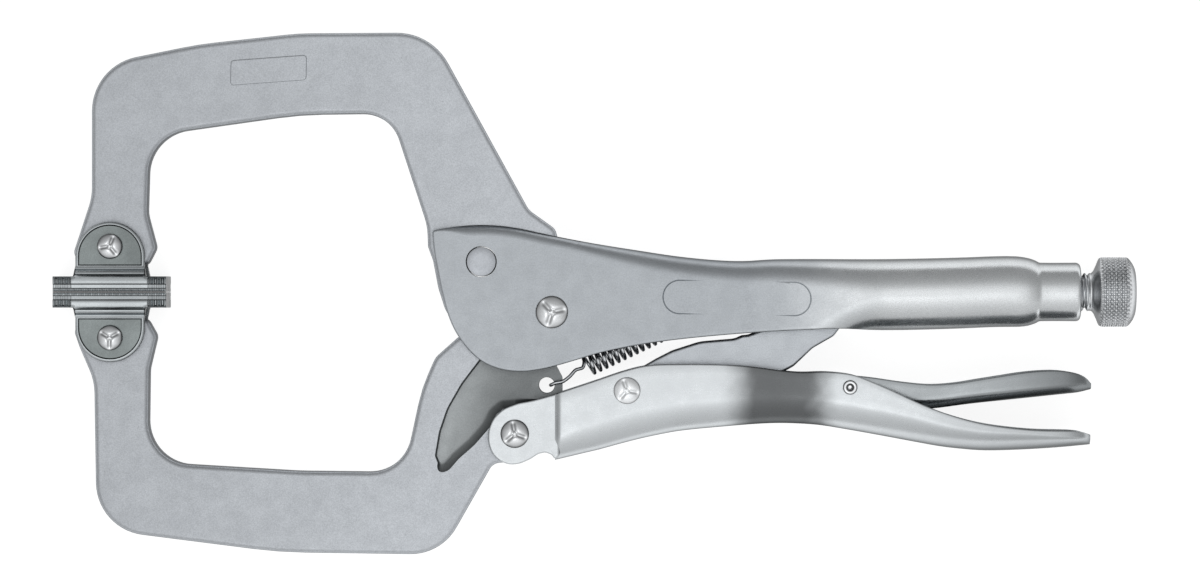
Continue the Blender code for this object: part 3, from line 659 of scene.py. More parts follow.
# --------------------------------------------------------------- upper handle
NOSE = [(-30.3, 20.3), (-30.2, 18.5), (-29.9, 15.5), (-29.2, 11.5), (-27.9, 5.1), (-26.5, -0.2),
        (-24.6, -4.7), (-21.6, -9.0), (-17.9, -12.4), (-13.4, -14.4), (-8.2, -15.1),
        (-3.1, -14.6), (2.0, -13.4), (7.1, -11.9), (12.2, -10.4), (22.4, -8.3), (32.6, -6.9),
        (42.8, -5.9), (53.0, -5.1), (63.2, -4.55), (70.0, -4.35), (75.0, -4.5), (80.0, -4.75),
        (86.0, -4.8), (136.0, -4.8)]
NOSE_LINE = spline(NOSE, 6)
TOP = table([(-33.0, 19.7), (-30.6, 20.6), (-28.6, 21.0), (-23.5, 21.8), (-18.4, 22.1),
             (-13.3, 21.9), (-8.2, 21.2), (-3.1, 20.1), (2.0, 19.05), (12.2, 17.2),
             (22.4, 15.6), (32.6, 14.1), (42.8, 13.15), (49.2, 13.0), (55.6, 13.4),
             (63.2, 13.5), (84.9, 13.5), (104.0, 13.9), (112.0, 14.2), (116.5, 14.28),
             (119.0, 14.15), (121.0, 13.85), (122.4, 13.47), (123.4, 13.06), (124.1, 12.65),
             (124.3, 12.6), (136.0, 12.6)])
HALF = table([(-33.0, 7.3), (20.0, 7.3), (45.0, 7.35), (60.0, 7.9), (72.0, 8.75), (82.0, 9.05),
              (112.0, 9.05), (116.5, 9.05), (119.0, 8.98), (121.0, 8.72), (122.4, 8.35),
              (123.4, 7.95), (124.1, 7.55), (124.3, 7.5), (136.0, 7.5)])
CORNER = table([(-33.0, 2.4), (2.0, 2.6), (12.0, 3.4), (24.0, 4.5), (45.0, 5.3), (60.0, 6.3),
                (70.0, 7.5), (82.0, 8.95), (136.0, 8.95)])


def bottom(u):
    line = NOSE_LINE
    for a, b in zip(line, line[1:]):
        if a.x <= u <= b.x and b.x > a.x and a.x > -9.0:
            return a.y + (b.y - a.y) * (u - a.x) / (b.x - a.x)
    return line[-1].y


def even(points, count, bend=2.0):
    """The same open line on a fixed number of points, closer where it bends."""
    points = [p for i, p in enumerate(points) if i == 0 or (p - points[i - 1]).length > 1e-6]
    cost = [0.0]
    for i in range(1, len(points)):
        step = points[i] - points[i - 1]
        turn = 0.0
        if i > 1:
            turn = (points[i - 1] - points[i - 2]).angle(step, 0.0)
        cost.append(cost[-1] + step.length + bend * turn)
    out, i = [], 1
    for k in range(count):
        goal = cost[-1] * k / (count - 1)
        while i < len(points) - 1 and cost[i] < goal:
            i += 1
        share = (goal - cost[i - 1]) / max(1e-9, cost[i] - cost[i - 1])
        out.append(points[i - 1].lerp(points[i], max(0.0, min(1.0, share))))
    return out


def handle_section(u):
    """Folded sheet at u: a web with two walls that curl into a tube."""
    top, half = TOP(u), HALF(u)
    corner = min(CORNER(u), half - 0.1)
    sheet = 2.3
    edge = 0.42
    trim = 0.0
    if u > 133.4:           # the neck's mouth is rounded
        back = min(1.0, (u - 133.4) / 1.2)
        trim = 1.0 * (1 - math.sqrt(max(0.0, 1 - back * back)))
    middle = top - half
    low = bottom(u)
    curl = smooth(66.0, 85.0, u)
    start = mix(low + 3.0, middle, curl)
    reach = start - mix(low, middle - half, curl)
    final = min(math.pi / 2 * curl, math.pi / 2 - 0.28 / half)
    radius = reach / math.sin(final) if final > 0.02 else 0.0
    if curl >= 1.0:
        radius = half
    if not radius:
        final = 0.0
    right = []
    if final > 0.0:
        for k in range(25):
            a = max(0.0, final - edge / radius) * (24 - k) / 24
            right.append(Vector((half - radius * (1 - math.cos(a)), start - radius * math.sin(a))))
    else:
        right.append(Vector((half, low + edge)))
    high = top - corner
    for k in range(25):
        a = math.pi / 2 * k / 24
        right.append(Vector((half - corner + corner * math.cos(a), high + corner * math.sin(a))))
    right.append(Vector((0.0, top)))
    right = even(right, 54)
    left = [Vector((-p.x, p.y)) for p in reversed(right[:-1])]
    outer = right + left
    inner = inset(outer, sheet, closed=False)
    if trim:
        outer = inset(outer, trim, closed=False)

    def rim(a, b, ahead):
        """Rounded sheared edge from the outer face a to the inner face b."""
        across = (b - a).normalized()
        width = (b - a).length
        e = edge
        pts = []
        for k in range(1, 4):
            t = math.pi / 2 * k / 4
            pts.append(a + across * e * (1 - math.cos(t)) + ahead * e * math.sin(t))
        pts.append(a + across * e + ahead * e)
        pts.append(a + across * (width - e) + ahead * e)
        for k in range(1, 4):
            t = math.pi / 2 * k / 4
            pts.append(b - across * e * (1 - math.sin(t)) + ahead * e * math.cos(t))
        return pts
    ahead_right = (outer[0] - outer[1]).normalized()
    ahead_left = (outer[-1] - outer[-2]).normalized()
    loop = outer + rim(outer[-1], inner[-1], ahead_left) + inner[::-1] \
        + rim(outer[0], inner[0], ahead_right)[::-1]
    return [(u, p.y, max(-9.05, min(9.05, p.x))) for p in loop]


def make_upper_handle():
    stations = [3.3]
    u = 4.5
    while u < 60.0:
        stations.append(u)
        u += 2.0
    while u < 66.0:
        stations.append(u)
        u += 1.5
    while u < 88.0:
        stations.append(u)
        u += 0.6
    while u < 116.0:
        stations.append(u)
        u += 2.5
    while u < 125.0:
        stations.append(u)
        u += 0.5
    stations += [127.0, 130.0, 132.5, 133.4, 133.7, 133.95, 134.15, 134.3, 134.42, 134.5, 134.56,
                 134.6]
    obj = put("upper_handle_shell", skin([handle_section(s) for s in stations],
                                          folded=107))
    # the two flat sides of the nose, where the jaw passes between them
    side_line = [p.copy() for p in NOSE_LINE if p.x < 3.2 and p.y < 20.4]
    top_line = [Vector((3.3 - k * 0.9, TOP(3.3 - k * 0.9))) for k in range(0, 37)]
    corner = [Vector((-29.6, 20.78)), Vector((-30.05, 20.62))]
    line = clean(side_line + [Vector((3.4, bottom(3.4) + 0.03)), Vector((7.4, bottom(7.4) + 0.3)),
                              Vector((7.4, 2.0)), Vector((7.4, 12.0)),
                              Vector((7.4, TOP(7.4) - 0.12))]
                 + [p for p in top_line if -29.2 < p.x < 3.5] + corner)
    radii = [0.45 + 2.2 * smooth(-29.5, -20.0, p.x) * (1.0 if p.y > 11.0 else 0.0)
             for p in line]
    cheeks = []
    for side in (1, -1):
        low, high = sorted((side * 5.01, side * 7.29))
        cheek = put("cheek", slab(line, low, high, radii if side > 0 else 0.3,
                                  0.3 if side > 0 else radii, 7))
        boolean(cheek, bore(MAIN, 3.15))
        boolean(cheek, bore(FLUSH, 3.95, segments=48))
        cheeks.append(cheek)
    # anchor lug for the spring, under the web
    lug = outline([(45.4, 2.4, 1.6), (50.4, 2.4, 1.6), (51.6, 11.6, 0.0), (44.2, 11.6, 0.0)])
    boolean(obj, slab(lug, -0.8, 0.8, 0.2, steps=3), "UNION")
    boolean(obj, bore(SPRING_ANCHOR, 1.3, 3.0))
    # plain oblong border pressed into each side
    for side in (1, -1):
        centre = Vector((47.0, 3.6))
        tilt = math.radians(-1.0)
        rings = []
        for radius, depth in ((4.55, 0.5), (4.55, 0.10), (4.25, -0.16), (3.95, 0.10), (3.95, 0.5)):
            ring = []
            for k in range(64):
                a = 2 * math.pi * k / 64
                x = 14.5 * (1 if math.cos(a) > 0 else -1) + radius * math.cos(a)
                p = Vector((x, radius * math.sin(a)))
                ring.append((p, depth))
            rings.append(ring)
        bm = bmesh.new()
        loops = []
        for ring in rings:
            loop = []
            for p, depth in ring:
                q = Vector((p.x * math.cos(tilt) - p.y * math.sin(tilt),
                            p.x * math.sin(tilt) + p.y * math.cos(tilt))) + centre
                surface = HALF(q.x)
                loop.append(bm.verts.new((q.x, q.y, side * (surface + depth))))
            loops.append(loop)
        loops.append(loops[0])
        for a, b in zip(loops, loops[1:]):
            for k in range(64):
                j = (k + 1) % 64
                bm.faces.new((a[k], a[j], b[j], b[k]))
        bmesh.ops.recalc_face_normals(bm, faces=bm.faces)
        boolean(obj, bm)
    for cheek in cheeks:
        take(obj, cheek)
    return done(obj, "upper_handle", "upper_handle", HANDLE_METAL)


# --------------------------------------------------------------- lower handle
LOW_BASE = table([(-1.0, -38.0), (0.8, -37.6), (7.1, -36.1), (12.2, -34.9), (17.3, -33.5),
                  (22.4, -32.2), (27.5, -31.1), (32.6, -30.2), (42.8, -29.2), (53.0, -28.4),
                  (58.1, -28.25), (63.2, -28.4), (68.3, -28.8), (73.4, -29.6), (83.6, -31.4),
                  (93.8, -33.3), (98.9, -34.2), (104.0, -34.8), (109.1, -35.2), (114.2, -35.2),
                  (121.9, -34.9), (129.5, -34.4), (138.0, -33.6)], 5)
LOW_TOP = table([(-1.0, -21.3), (1.0, -20.7), (7.1, -18.7), (12.2, -17.0), (17.3, -15.25),
                 (22.4, -13.85), (26.3, -13.35), (32.6, -13.2), (42.8, -13.3), (50.5, -13.8),
                 (58.1, -14.8), (63.2, -15.25), (70.0, -15.15), (76.5, -15.9), (81.1, -17.6),
                 (86.2, -19.8), (91.3, -22.2), (96.4, -24.4), (102.8, -26.6), (109.1, -28.2),
                 (115.5, -29.2), (123.2, -29.9), (134.1, -30.3), (137.0, -31.2)], 5)
LOW_HALF = table([(-1.0, 6.9), (0.6, 6.92), (1.1, 7.15), (1.7, 7.65), (2.3, 7.9), (30.0, 7.9),
                  (47.0, 7.9), (53.0, 7.75), (60.0, 7.35), (66.0, 7.25), (72.0, 7.35),
                  (80.0, 7.7), (88.0, 8.3), (97.0, 8.85), (110.0, 9.0), (122.0, 8.9),
                  (130.0, 8.4), (134.0, 7.2), (136.0, 5.6), (137.0, 3.9)], 6)
LOW_CZ = table([(-1.0, 4.0), (60.0, 5.4), (90.0, 6.4), (120.0, 7.2), (134.0, 5.6), (137.0, 2.9)], 6)
LOW_CV = table([(-1.0, 5.8), (12.0, 7.4), (50.0, 7.4), (65.0, 7.2), (90.0, 6.8), (105.0, 5.3),
                (120.0, 4.2), (137.0, 1.9)], 6)


def channel_section(u, base, edge_v, half, cz, cv, sheet, edge=0.4, bulge=0.0):
    """An upward channel at u: rounded lower corners and rounded sheared rims."""
    cv = min(cv, edge_v - base - edge - 0.15)
    sheet = min(sheet, 0.8 * cv * cv / cz, 0.8 * cz * cz / cv, 0.45 * half)
    edge = min(edge, 0.4 * sheet)
    right = []
    for k in range(5):
        s = k / 4
        v = mix(edge_v - edge, base + cv, s)
        right.append(Vector((half + bulge * math.sin(math.pi * s), v)))
    for k in range(1, 13):
        a = math.pi / 2 * k / 12
        right.append(Vector((half - cz + cz * math.cos(a) ** 1.2,
                             base + cv - cv * math.sin(a) ** 1.2)))
    left = [Vector((-p.x, p.y)) for p in reversed(right)]
    outer = right + left
    inner = inset(outer, -sheet, closed=False)

    def rim(a, b, ahead):
        across = (b - a).normalized()
        width = (b - a).length
        pts = []
        for k in range(1, 4):
            t = math.pi / 2 * k / 4
            pts.append(a + across * edge * (1 - math.cos(t)) + ahead * edge * math.sin(t))
        pts.append(a + across * edge + ahead * edge)
        pts.append(a + across * (width - edge) + ahead * edge)
        for k in range(1, 4):
            t = math.pi / 2 * k / 4
            pts.append(b - across * edge * (1 - math.sin(t)) + ahead * edge * math.cos(t))
        return pts
    ahead_right = (outer[0] - outer[1]).normalized()
    ahead_left = (outer[-1] - outer[-2]).normalized()
    loop = outer + rim(outer[-1], inner[-1], ahead_left) + inner[::-1] \
        + rim(outer[0], inner[0], ahead_right)[::-1]
    return [(u, p.y, p.x) for p in loop]


def make_lower_handle():
    stations = [0.8, 1.0, 1.2, 1.4, 1.6, 1.8, 2.0, 2.3, 2.7, 3.4, 4.5]
    u = 6.0
    while u < 46.0:
        stations.append(u)
        u += 2.0
    while u < 84.0:
        stations.append(u)
        u += 1.2
    while u < 130.0:
        stations.append(u)
        u += 2.0
    stations += [131.0, 132.0, 133.0, 134.0, 134.8, 135.4, 135.9, 136.3, 136.6, 136.8, 136.95]
    obj = put("lower_handle_channel", skin([
        channel_section(s, LOW_BASE(s), LOW_TOP(s), LOW_HALF(s), LOW_CZ(s), LOW_CV(s), 1.9)
        for s in stations], folded=34))
    ear = outline([
        (1.8, -20.9, 0.0), (0.85, -20.85, 0.0), (-1.8, -21.6, 20.0), (-5.0, -22.45, 20.0), (-8.6, -23.1, 9.0),
        (-12.3, -24.5, 6.5), (-14.9, -26.9, 6.5), (-16.1, -29.9, 6.5), (-16.2, -33.0, 6.5),
        (-15.2, -36.0, 6.0), (-13.0, -38.0, 6.0), (-10.6, -38.8, 6.0), (-8.0, -38.5, 6.0),
        (-5.4, -37.3, 5.0), (-3.4, -36.0, 2.0), (-1.7, -35.6, 1.6), (-0.1, -36.2, 1.4),
        (0.8, -37.35, 0.5), (1.8, -36.6, 0.0)], 8.0)
    boolean(obj, bore(LINK, 2.55))
    boolean(obj, bore(RELEASE, 1.45))
    for side in (1, -1):
        low, high = sorted((side * 5.01, side * 6.89))
        cheek = put("ear", slab(ear, low, high, 0.4 if side > 0 else 0.2,
                                0.2 if side > 0 else 0.4))
        boolean(cheek, bore(HANDLE, 2.75))
        take(obj, cheek)
    return done(obj, "lower_handle", "lower_handle", BRIGHT)


# -------------------------------------------------------------- release lever
LEV_BASE = table([(50.0, -23.8), (54.1, -24.0), (58.1, -24.3), (68.3, -24.7), (78.5, -25.0),
                  (88.7, -25.0), (96.4, -24.6), (106.6, -23.3), (114.2, -22.5), (121.9, -21.7),
                  (129.5, -20.9), (134.0, -20.4), (137.4, -19.6)], 5)
LEV_TOP = table([(53.4, -21.9), (58.1, -19.9), (64.5, -17.9), (70.9, -16.6), (76.0, -16.2),
                 (81.1, -16.6), (88.7, -17.7), (96.4, -18.4), (102.8, -18.0), (109.1, -17.0),
                 (114.2, -16.2), (119.3, -15.4), (124.4, -14.9), (129.0, -14.85), (133.1, -15.5),
                 (135.6, -16.6), (137.3, -18.3)], 5)
LEV_HALF = table([(50.0, 4.8), (54.0, 4.9), (86.0, 4.9), (92.0, 5.5), (104.0, 7.4),
                  (118.0, 8.0), (128.0, 7.7), (133.0, 6.8), (135.6, 5.2), (137.4, 3.2)], 6)


def make_release_lever():
    stations = [53.5, 53.8, 54.4]
    u = 55.5
    while u < 132.0:
        stations.append(u)
        u += 1.8
    stations += [132.8, 133.6, 134.4, 135.1, 135.7, 136.2, 136.6, 136.95, 137.2]
    rings = []
    for s in stations:
        half = LEV_HALF(s)
        if s < 54.4:
            half -= 0.5 * (54.4 - s)
        deep = LEV_TOP(s) - LEV_BASE(s)
        rings.append(channel_section(s, LEV_BASE(s), LEV_TOP(s), half, half * 0.6,
                                     min(2.6, deep * 0.62), min(1.5, deep * 0.42),
                                     min(0.35, deep * 0.12)))
    obj = put("release_lever_channel", skin(rings, folded=34))
    boolean(obj, bore(RELEASE, 1.45))
    return done(obj, "release_lever", "release_lever", LEVER_METAL)


# ---------------------------------------------------------------- toggle link
def make_toggle_link():
    line = outline([
        (16.8, -15.3, 3.2), (22.4, -14.3, 3.2), (26.3, -12.0, 6.0), (30.6, -9.8, 7.0),
        (37.7, -7.5, 12.0), (46.6, -6.75, 6.0), (48.4, -5.9, 2.0), (50.0, -5.75, 2.0),
        (60.7, -1.5, 15.3), (72.4, 5.6, 2.2),
        (76.0, 6.4, 1.2), (76.0, 2.3, 1.2), (75.2, -1.5, 2.5), (71.7, -6.1, 2.5),
        (66.3, -9.2, 5.1), (61.5, -13.8, 5.1), (55.6, -17.1, 5.1), (46.7, -18.9, 10.2),
        (37.7, -20.4, 7.7), (26.3, -22.9, 3.1), (19.1, -25.0, 3.8), (14.3, -23.5, 3.8),
        (14.3, -17.3, 3.8)])
    obj = put("toggle_link_bar", slab(line, -4.0, 4.0, 0.7))
    boolean(obj, bore(LINK, 2.55))
    return done(obj, "toggle_link", "toggle_link", LINK_METAL)


# --------------------------------------------------------------------- rivets
def make_rivet(name, node, body, centre, shank, head, under, top, turn=0.0, lobes=4):
    """A rivet whose heads were spun over: a low dome with a soft dished
    middle and shallow lobes round it."""
    rise = top - under
    segments, rows = 64, 14
    bm = bmesh.new()
    halves = []
    for side in (1, -1):
        rings = []
        ring = [bm.verts.new((centre[0] + shank * math.cos(2 * math.pi * k / segments),
                              centre[1] + shank * math.sin(2 * math.pi * k / segments),
                              side * under)) for k in range(segments)]
        rings.append(ring)
        profile = [(1.0, 0.0), (1.0, 0.10), (0.985, 0.17)]
        for i in range(1, rows):
            profile.append((0.96 * (1 - i / rows), None))
        ball = (1 + (rise / head) ** 2) / (2 * rise / head)
        for r, lift in profile:
            ring = []
            for k in range(segments):
                a = 2 * math.pi * k / segments
                if lift is None:
                    cap = (math.sqrt(ball * ball - r * r) - math.sqrt(ball * ball - 1)) \
                        * head / rise
                    groove = 0.0
                    for n in range(lobes):
                        off = (a - turn - 2 * math.pi * n / lobes + math.pi) % (2 * math.pi) \
                            - math.pi
                        groove += math.exp(-(r * math.sin(max(-1.5, min(1.5, off))) / 0.15) ** 2) \
                            * (1.0 if abs(off) < 1.5 else 0.0)
                    groove *= smooth(0.02, 0.25, r) * smooth(0.97, 0.7, r)
                    dish = math.exp(-(r / 0.2) ** 2)
                    h = 0.15 + 0.85 * cap - 0.34 * min(1.0, groove) - 0.10 * dish
                else:
                    h = lift
                ring.append(bm.verts.new((centre[0] + head * r * math.cos(a),
                                          centre[1] + head * r * math.sin(a),
                                          side * (under + rise * max(0.0, min(1.0, h))))))
            rings.append(ring)
        for a, b in zip(rings, rings[1:]):
            for k in range(segments):
                j = (k + 1) % segments
                bm.faces.new((a[k], a[j], b[j], b[k]))
        tip = bm.verts.new((centre[0], centre[1], side * (under + rise * 0.83)))
        for k in range(segments):
            bm.faces.new((rings[-1][k], rings[-1][(k + 1) % segments], tip))
        halves.append(rings[0])
    for k in range(segments):
        j = (k + 1) % segments
        bm.faces.new((halves[0][k], halves[0][j], halves[1][j], halves[1][k]))
    bmesh.ops.recalc_face_normals(bm, faces=bm.faces)
    obj = put(name, bm)
    return done(obj, node, body, RIVET, 50.0)


def make_small_rivets():
    # flush rivet, its ends dressed level with the handle's sides
    face = 7.26
    half = [(3.62, 0.0), (3.72, face - 0.22), (3.66, face - 0.08), (3.5, face),
            (1.8, face - 0.015), (0, face - 0.02)]
    profile = [(r, -z) for r, z in reversed(half)] + half[1:]
    obj = put("upper_jaw_rivet_flush", turned(profile, FLUSH, 56))
    done(obj, "upper_jaw_rivet", "upper_handle", FLUSH_METAL)
    # hollow rivet with a rolled lip and a deep dark bore
    half = [(1.3, 0.0), (1.3, 7.9), (1.84, 7.93)] \
        + [(1.31 + 0.53 * math.cos(math.pi * k / 8), 7.98 + 0.44 * math.sin(math.pi * k / 8))
           for k in range(9)] + [(0.76, 7.4), (0.74, 4.2), (0, 4.0)]
    profile = [(r, -z) for r, z in reversed(half)] + half[1:]
    obj = put("release_lever_rivet_hollow", turned(profile, RELEASE, 40))
    done(obj, "release_lever_rivet", "lower_handle", RIVET)


# ------------------------------------------------------------ adjusting screw
def make_screw():
    bm = bmesh.new()
    count = 48
    rings = []

    def ring(x, radius_at):
        loop = []
        for k in range(count):
            a = 2 * math.pi * k / count
            r = radius_at(a)
            loop.append(bm.verts.new((x, SCREW_V + r * math.cos(a), r * math.sin(a))))
        return loop
    rings.append(ring(80.6, lambda a: 3.4))
    rings.append(ring(81.0, lambda a: 3.75))
    rings.append(ring(82.2, lambda a: 4.8))
    pitch = 1.5
    x = 84.0
    rings.append(ring(x, lambda a: 4.8))
    x = 104.0
    while x < 137.3:
        grow = smooth(104.0, 106.0, x) * (1 - smooth(135.9, 137.2, x))

        def radius_at(a, x=x, grow=grow):
            t = (x / pitch - a / (2 * math.pi)) % 1.0
            tooth = abs(t - 0.5) * 2
            return 4.83 - 0.82 * grow * smooth(0.12, 0.9, tooth)
        rings.append(ring(x, radius_at))
        x += pitch / 8
    # collar, cone and plain shoulder before the knurl
    for x, r in ((137.35, 4.8), (137.6, 5.0), (138.0, 5.4), (138.7, 6.9), (139.15, 8.05),
                 (139.35, 8.4)):
        rings.append(ring(x, lambda a, r=r: r))
    for a, b in zip(rings, rings[1:]):
        for k in range(count):
            j = (k + 1) % count
            bm.faces.new((a[k], a[j], b[j], b[k]))
    shaft_end = rings[-1]
    bm.faces.new(rings[0][::-1])
    bm.faces.new(shaft_end)
    bmesh.ops.recalc_face_normals(bm, faces=bm.faces)
    obj = put("adjusting_screw_turned", bm)
    # knurled knob
    around, teeth = 352, 44
    bm = bmesh.new()
    rings = []
    x0, x1 = 139.25, 148.66

    def knob_ring(x, base, depth):
        loop = []
        for k in range(around):
            a = 2 * math.pi * k / around
            s1 = (teeth * a / (2 * math.pi) + (x - x0) / 1.15) % 1.0
            s2 = (teeth * a / (2 * math.pi) - (x - x0) / 1.15) % 1.0
            peak = 1 - max(abs(2 * s1 - 1), abs(2 * s2 - 1))
            r = base - depth * (1 - smooth(0.0, 0.7, peak * 1.4))
            loop.append(bm.verts.new((x, SCREW_V + r * math.cos(a), r * math.sin(a))))
        return loop
    rings.append(knob_ring(x0, 7.6, 0.0))
    rings.append(knob_ring(x0 + 0.05, 8.35, 0.05))
    x = x0 + 0.25
    while x < 146.5:
        end = smooth(x0 + 0.2, x0 + 0.8, x)
        rings.append(knob_ring(x, mix(8.6, 8.85, end), 0.12 + 0.36 * end))
        x += 0.16
    for x, r, d in ((146.7, 8.72, 0.3), (147.0, 8.45, 0.22), (147.3, 8.1, 0.1), (147.6, 7.72, 0.0),
                    (147.95, 7.2, 0.0), (148.25, 6.6, 0.0), (148.48, 6.0, 0.0), (148.6, 5.5, 0.0),
                    (148.66, 5.0, 0.0), (148.66, 4.6, 0.0), (148.55, 1.2, 0.0)):
        rings.append(knob_ring(x, r, d))
    for a, b in zip(rings, rings[1:]):
        for k in range(around):
            j = (k + 1) % around
            bm.faces.new((a[k], a[j], b[j], b[k]))
    bm.faces.new(rings[0][::-1])
    bm.faces.new(rings[-1])
    bmesh.ops.recalc_face_normals(bm, faces=bm.faces)
    knob = put("adjusting_screw_knob", bm)
    for piece in (obj, knob):
        shade(piece, 40.0)
        piece.data.materials.append(KNOB_METAL)
        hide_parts("adjusting_screw")
        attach(piece, "adjusting_screw")


# --------------------------------------------------------------------- spring
def make_spring():
    start = Vector((*SPRING_HOLE, 0.0))
    end = Vector((*SPRING_ANCHOR, 0.0))
    axis = (end - start).normalized()
    side = Vector((-axis.y, axis.x, 0.0))
    depth = Vector((0.0, 0.0, 1.0))
    length = (end - start).length
    coil_from, coil_to = 11.2, length - 5.6
    turns = round((coil_to - coil_from) / 1.7)
    hook = start + Vector((1.0, 0.0, 0.0))
    phase = 0.6

    def on_coil(a, s, r=2.5):
        return start + axis * s + side * (r * math.sin(a)) + depth * (r * math.cos(a))
    control = [hook - depth * 4.4, hook - depth * 1.0, hook + depth * 2.3,
               hook + depth * 3.2 + axis * 0.25, hook + depth * 3.6 + axis * 1.3,
               start + axis * 4.0 + depth * 3.6 - side * 0.9,
               start + axis * 6.2 + depth * 3.4 - side * 0.5,
               start + axis * 8.3 + depth * 3.0 + side * 0.3,
               on_coil(phase - 0.55, coil_from - 1.0, 2.55)]
    steps = 28
    coil = []
    for k in range(turns * steps + 1):
        a = phase + 2 * math.pi * k / steps
        s = coil_from + (coil_to - coil_from) * k / (turns * steps)
        coil.append(on_coil(a, s))
    tail = [end - axis * 3.4 + depth * 2.3 + side * 0.8, end - axis * 1.6 + depth * 2.2 + side * 0.2,
            end - axis * 0.4 + depth * 1.9, end + depth * 1.1, end - depth * 0.6, end - depth * 2.2]
    path = spline(control + coil[:2], 7)[:-7] + coil[1:-1] + spline([coil[-2], coil[-1]] + tail, 7)[7:]
    obj = put("tension_spring_coil", wire(path, 0.45, 12))
    obj = done(obj, "tension_spring", "tension_spring", SPRING_METAL, 60.0)
    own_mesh(obj)


# ----------------------------------------------------------------------- pads
def make_pad(name, node, body, pivot, facing):
    """Swivel pad: two ears with a pressed rim, flaring into a ribbed plate."""
    u0, v0 = pivot
    ear_r, ear_c = 8.8, 2.6
    # ear outline, as distance d from the pivot toward the clamping face
    ear = []
    for k in range(31):
        a = math.pi * (1 - k / 30)
        ear.append(Vector((ear_r * math.cos(a), ear_c - ear_r * math.sin(a))))
    ear = [Vector((-ear_r, 8.6))] + ear + [Vector((ear_r, 8.6))]

    def place(points):
        return clean([Vector((u0 + p.x, v0 + facing * p.y)) for p in points])
    line = place(ear)
    obj = put(name, slab(line, -6.8, 6.8, 0.5, steps=4))
    # recessed face inside the rim
    inner = []
    for k in range(31):
        a = math.pi * (1 - k / 30)
        inner.append(Vector(((ear_r - 1.0) * math.cos(a), ear_c - (ear_r - 1.0) * math.sin(a))))
    inner = [Vector((-ear_r + 1.0, 4.6))] + inner + [Vector((ear_r - 1.0, 4.6))]
    inner = place(inner)
    for side in (1, -1):
        rings = []
        for lift, spread in ((0.0, 0.0), (0.12, 0.10), (0.42, 0.34), (1.2, 1.0)):
            ring = [(p.x, p.y, side * (6.38 + lift)) for p in inset(inner, -spread)]
            rings.append(ring)
        boolean(obj, skin(rings))
    # flare and plate: one section carried along u, serrated near the clamp face
    def section(x):
        long = abs(x)
        end = smooth(14.38, 14.0, long)
        within = smooth(9.3, 8.7, long)
        tooth = 0.5 + 0.5 * math.cos(2 * math.pi * x / 0.9)
        wide = 9.05 - 0.35 * (1 - end)
        ends = (0.25 + 0.55 * tooth) * smooth(9.6, 10.2, long) * end
        rib = 0.22
        pts = [(mix(7.62, 5.0, within), mix(wide - 0.7, 6.75, within)),
               (mix(7.66, 5.35, within), mix(wide - 0.45, 6.80 + rib, within)),
               (mix(7.70, 5.70, within), mix(wide - 0.30, 6.85 + rib, within)),
               (mix(7.74, 6.00, within), mix(wide - 0.20, 6.80, within)),
               (mix(7.78, 6.30, within), mix(wide - 0.15, 7.10 + rib, within)),
               (mix(7.84, 6.65, within), mix(wide - 0.12, 7.35 + rib, within)),
               (mix(7.90, 7.00, within), mix(wide - 0.10 - ends, 7.60, within)),
               (mix(8.00, 7.45, within), mix(wide - 0.06 - ends, 8.45, within)),
               (mix(8.10, 7.85, within), wide - 0.14 - ends),
               (8.35, wide - 0.01 - ends), (8.9, wide - ends), (9.35, wide - ends),
               (9.50, wide - 0.10 - ends * 0.8), (9.75, wide - 0.85 - ends * 0.3),
               (10.55, wide - 0.90 - ends * 0.3), (10.75, wide - 0.12 - 0.30 * tooth),
               (11.2, wide - 0.08 - 0.30 * tooth), (11.45, wide - 0.35 - 0.25 * tooth),
               (11.56, wide - 0.8)]
        return [Vector((d, z)) for d, z in pts]
    rings = []
    x = -14.4
    xs = []
    while x < 14.39:
        xs.append(x)
        x += 0.12
    xs.append(14.4)
    for x in xs:
        right = section(x)
        loop = [(u0 + x, v0 + facing * p.x, p.y) for p in right]
        loop += [(u0 + x, v0 + facing * p.x, -p.y) for p in reversed(right)]
        rings.append(loop)
    bm = skin(rings)
    boolean(obj, bm, "UNION")
    low, high = sorted((v0 + facing * 7.6, v0 - facing * 20.0))
    box = [Vector((u0 - 22, low)), Vector((u0 + 22, low)), Vector((u0 + 22, high)),
           Vector((u0 - 22, high))]
    boolean(obj, skin([[(p.x, p.y, z) for p in box] for z in (-5.1, 5.1)]))
    boolean(obj, bore(pivot, 2.35))
    done(obj, node, body, PAD_METAL, 34.0)
    # the recessed ear faces take the darker material: painted dark reflection
    obj.data.materials.append(PAD_EAR_REFLECTION)
    for face in obj.data.polygons:
        c = face.center
        off = ((c.y / MM + CV) - v0) * facing
        if off < 4.75 and abs(abs(c.z / MM - CH) - 6.38) < 0.03 and abs(face.normal.z) > 0.9:
            face.material_index = 1
    return obj


make_upper_jaw()
make_lower_jaw()
make_upper_handle()
make_lower_handle()
make_release_lever()
make_toggle_link()
make_rivet("main_pivot_rivet_head", "main_pivot_rivet", "upper_handle", MAIN, 3.0, 4.1, 7.6, 9.05,
           2.3, 3)
make_rivet("handle_pivot_rivet_head", "handle_pivot_rivet", "lower_handle", HANDLE, 2.6, 3.6,
           7.2, 8.6, 1.75, 3)
make_rivet("toggle_link_rivet_head", "toggle_link_rivet", "lower_handle", LINK, 2.4, 3.4, 8.2,
           9.05, 1.9, 3)
make_rivet("upper_pad_rivet_head", "upper_pad_rivet", "upper_handle", PAD_UP, 2.2, 3.2, 7.1, 8.4,
           1.2, 3)
make_rivet("lower_pad_rivet_head", "lower_pad_rivet", "lower_jaw", PAD_LOW, 2.2, 3.2, 7.1, 8.4,
           2.6, 3)
make_small_rivets()
make_screw()
make_spring()
make_pad("upper_pad_swivel", "upper_pad", "upper_pad", PAD_UP, -1)
make_pad("lower_pad_swivel", "lower_pad", "lower_pad", PAD_LOW, 1)


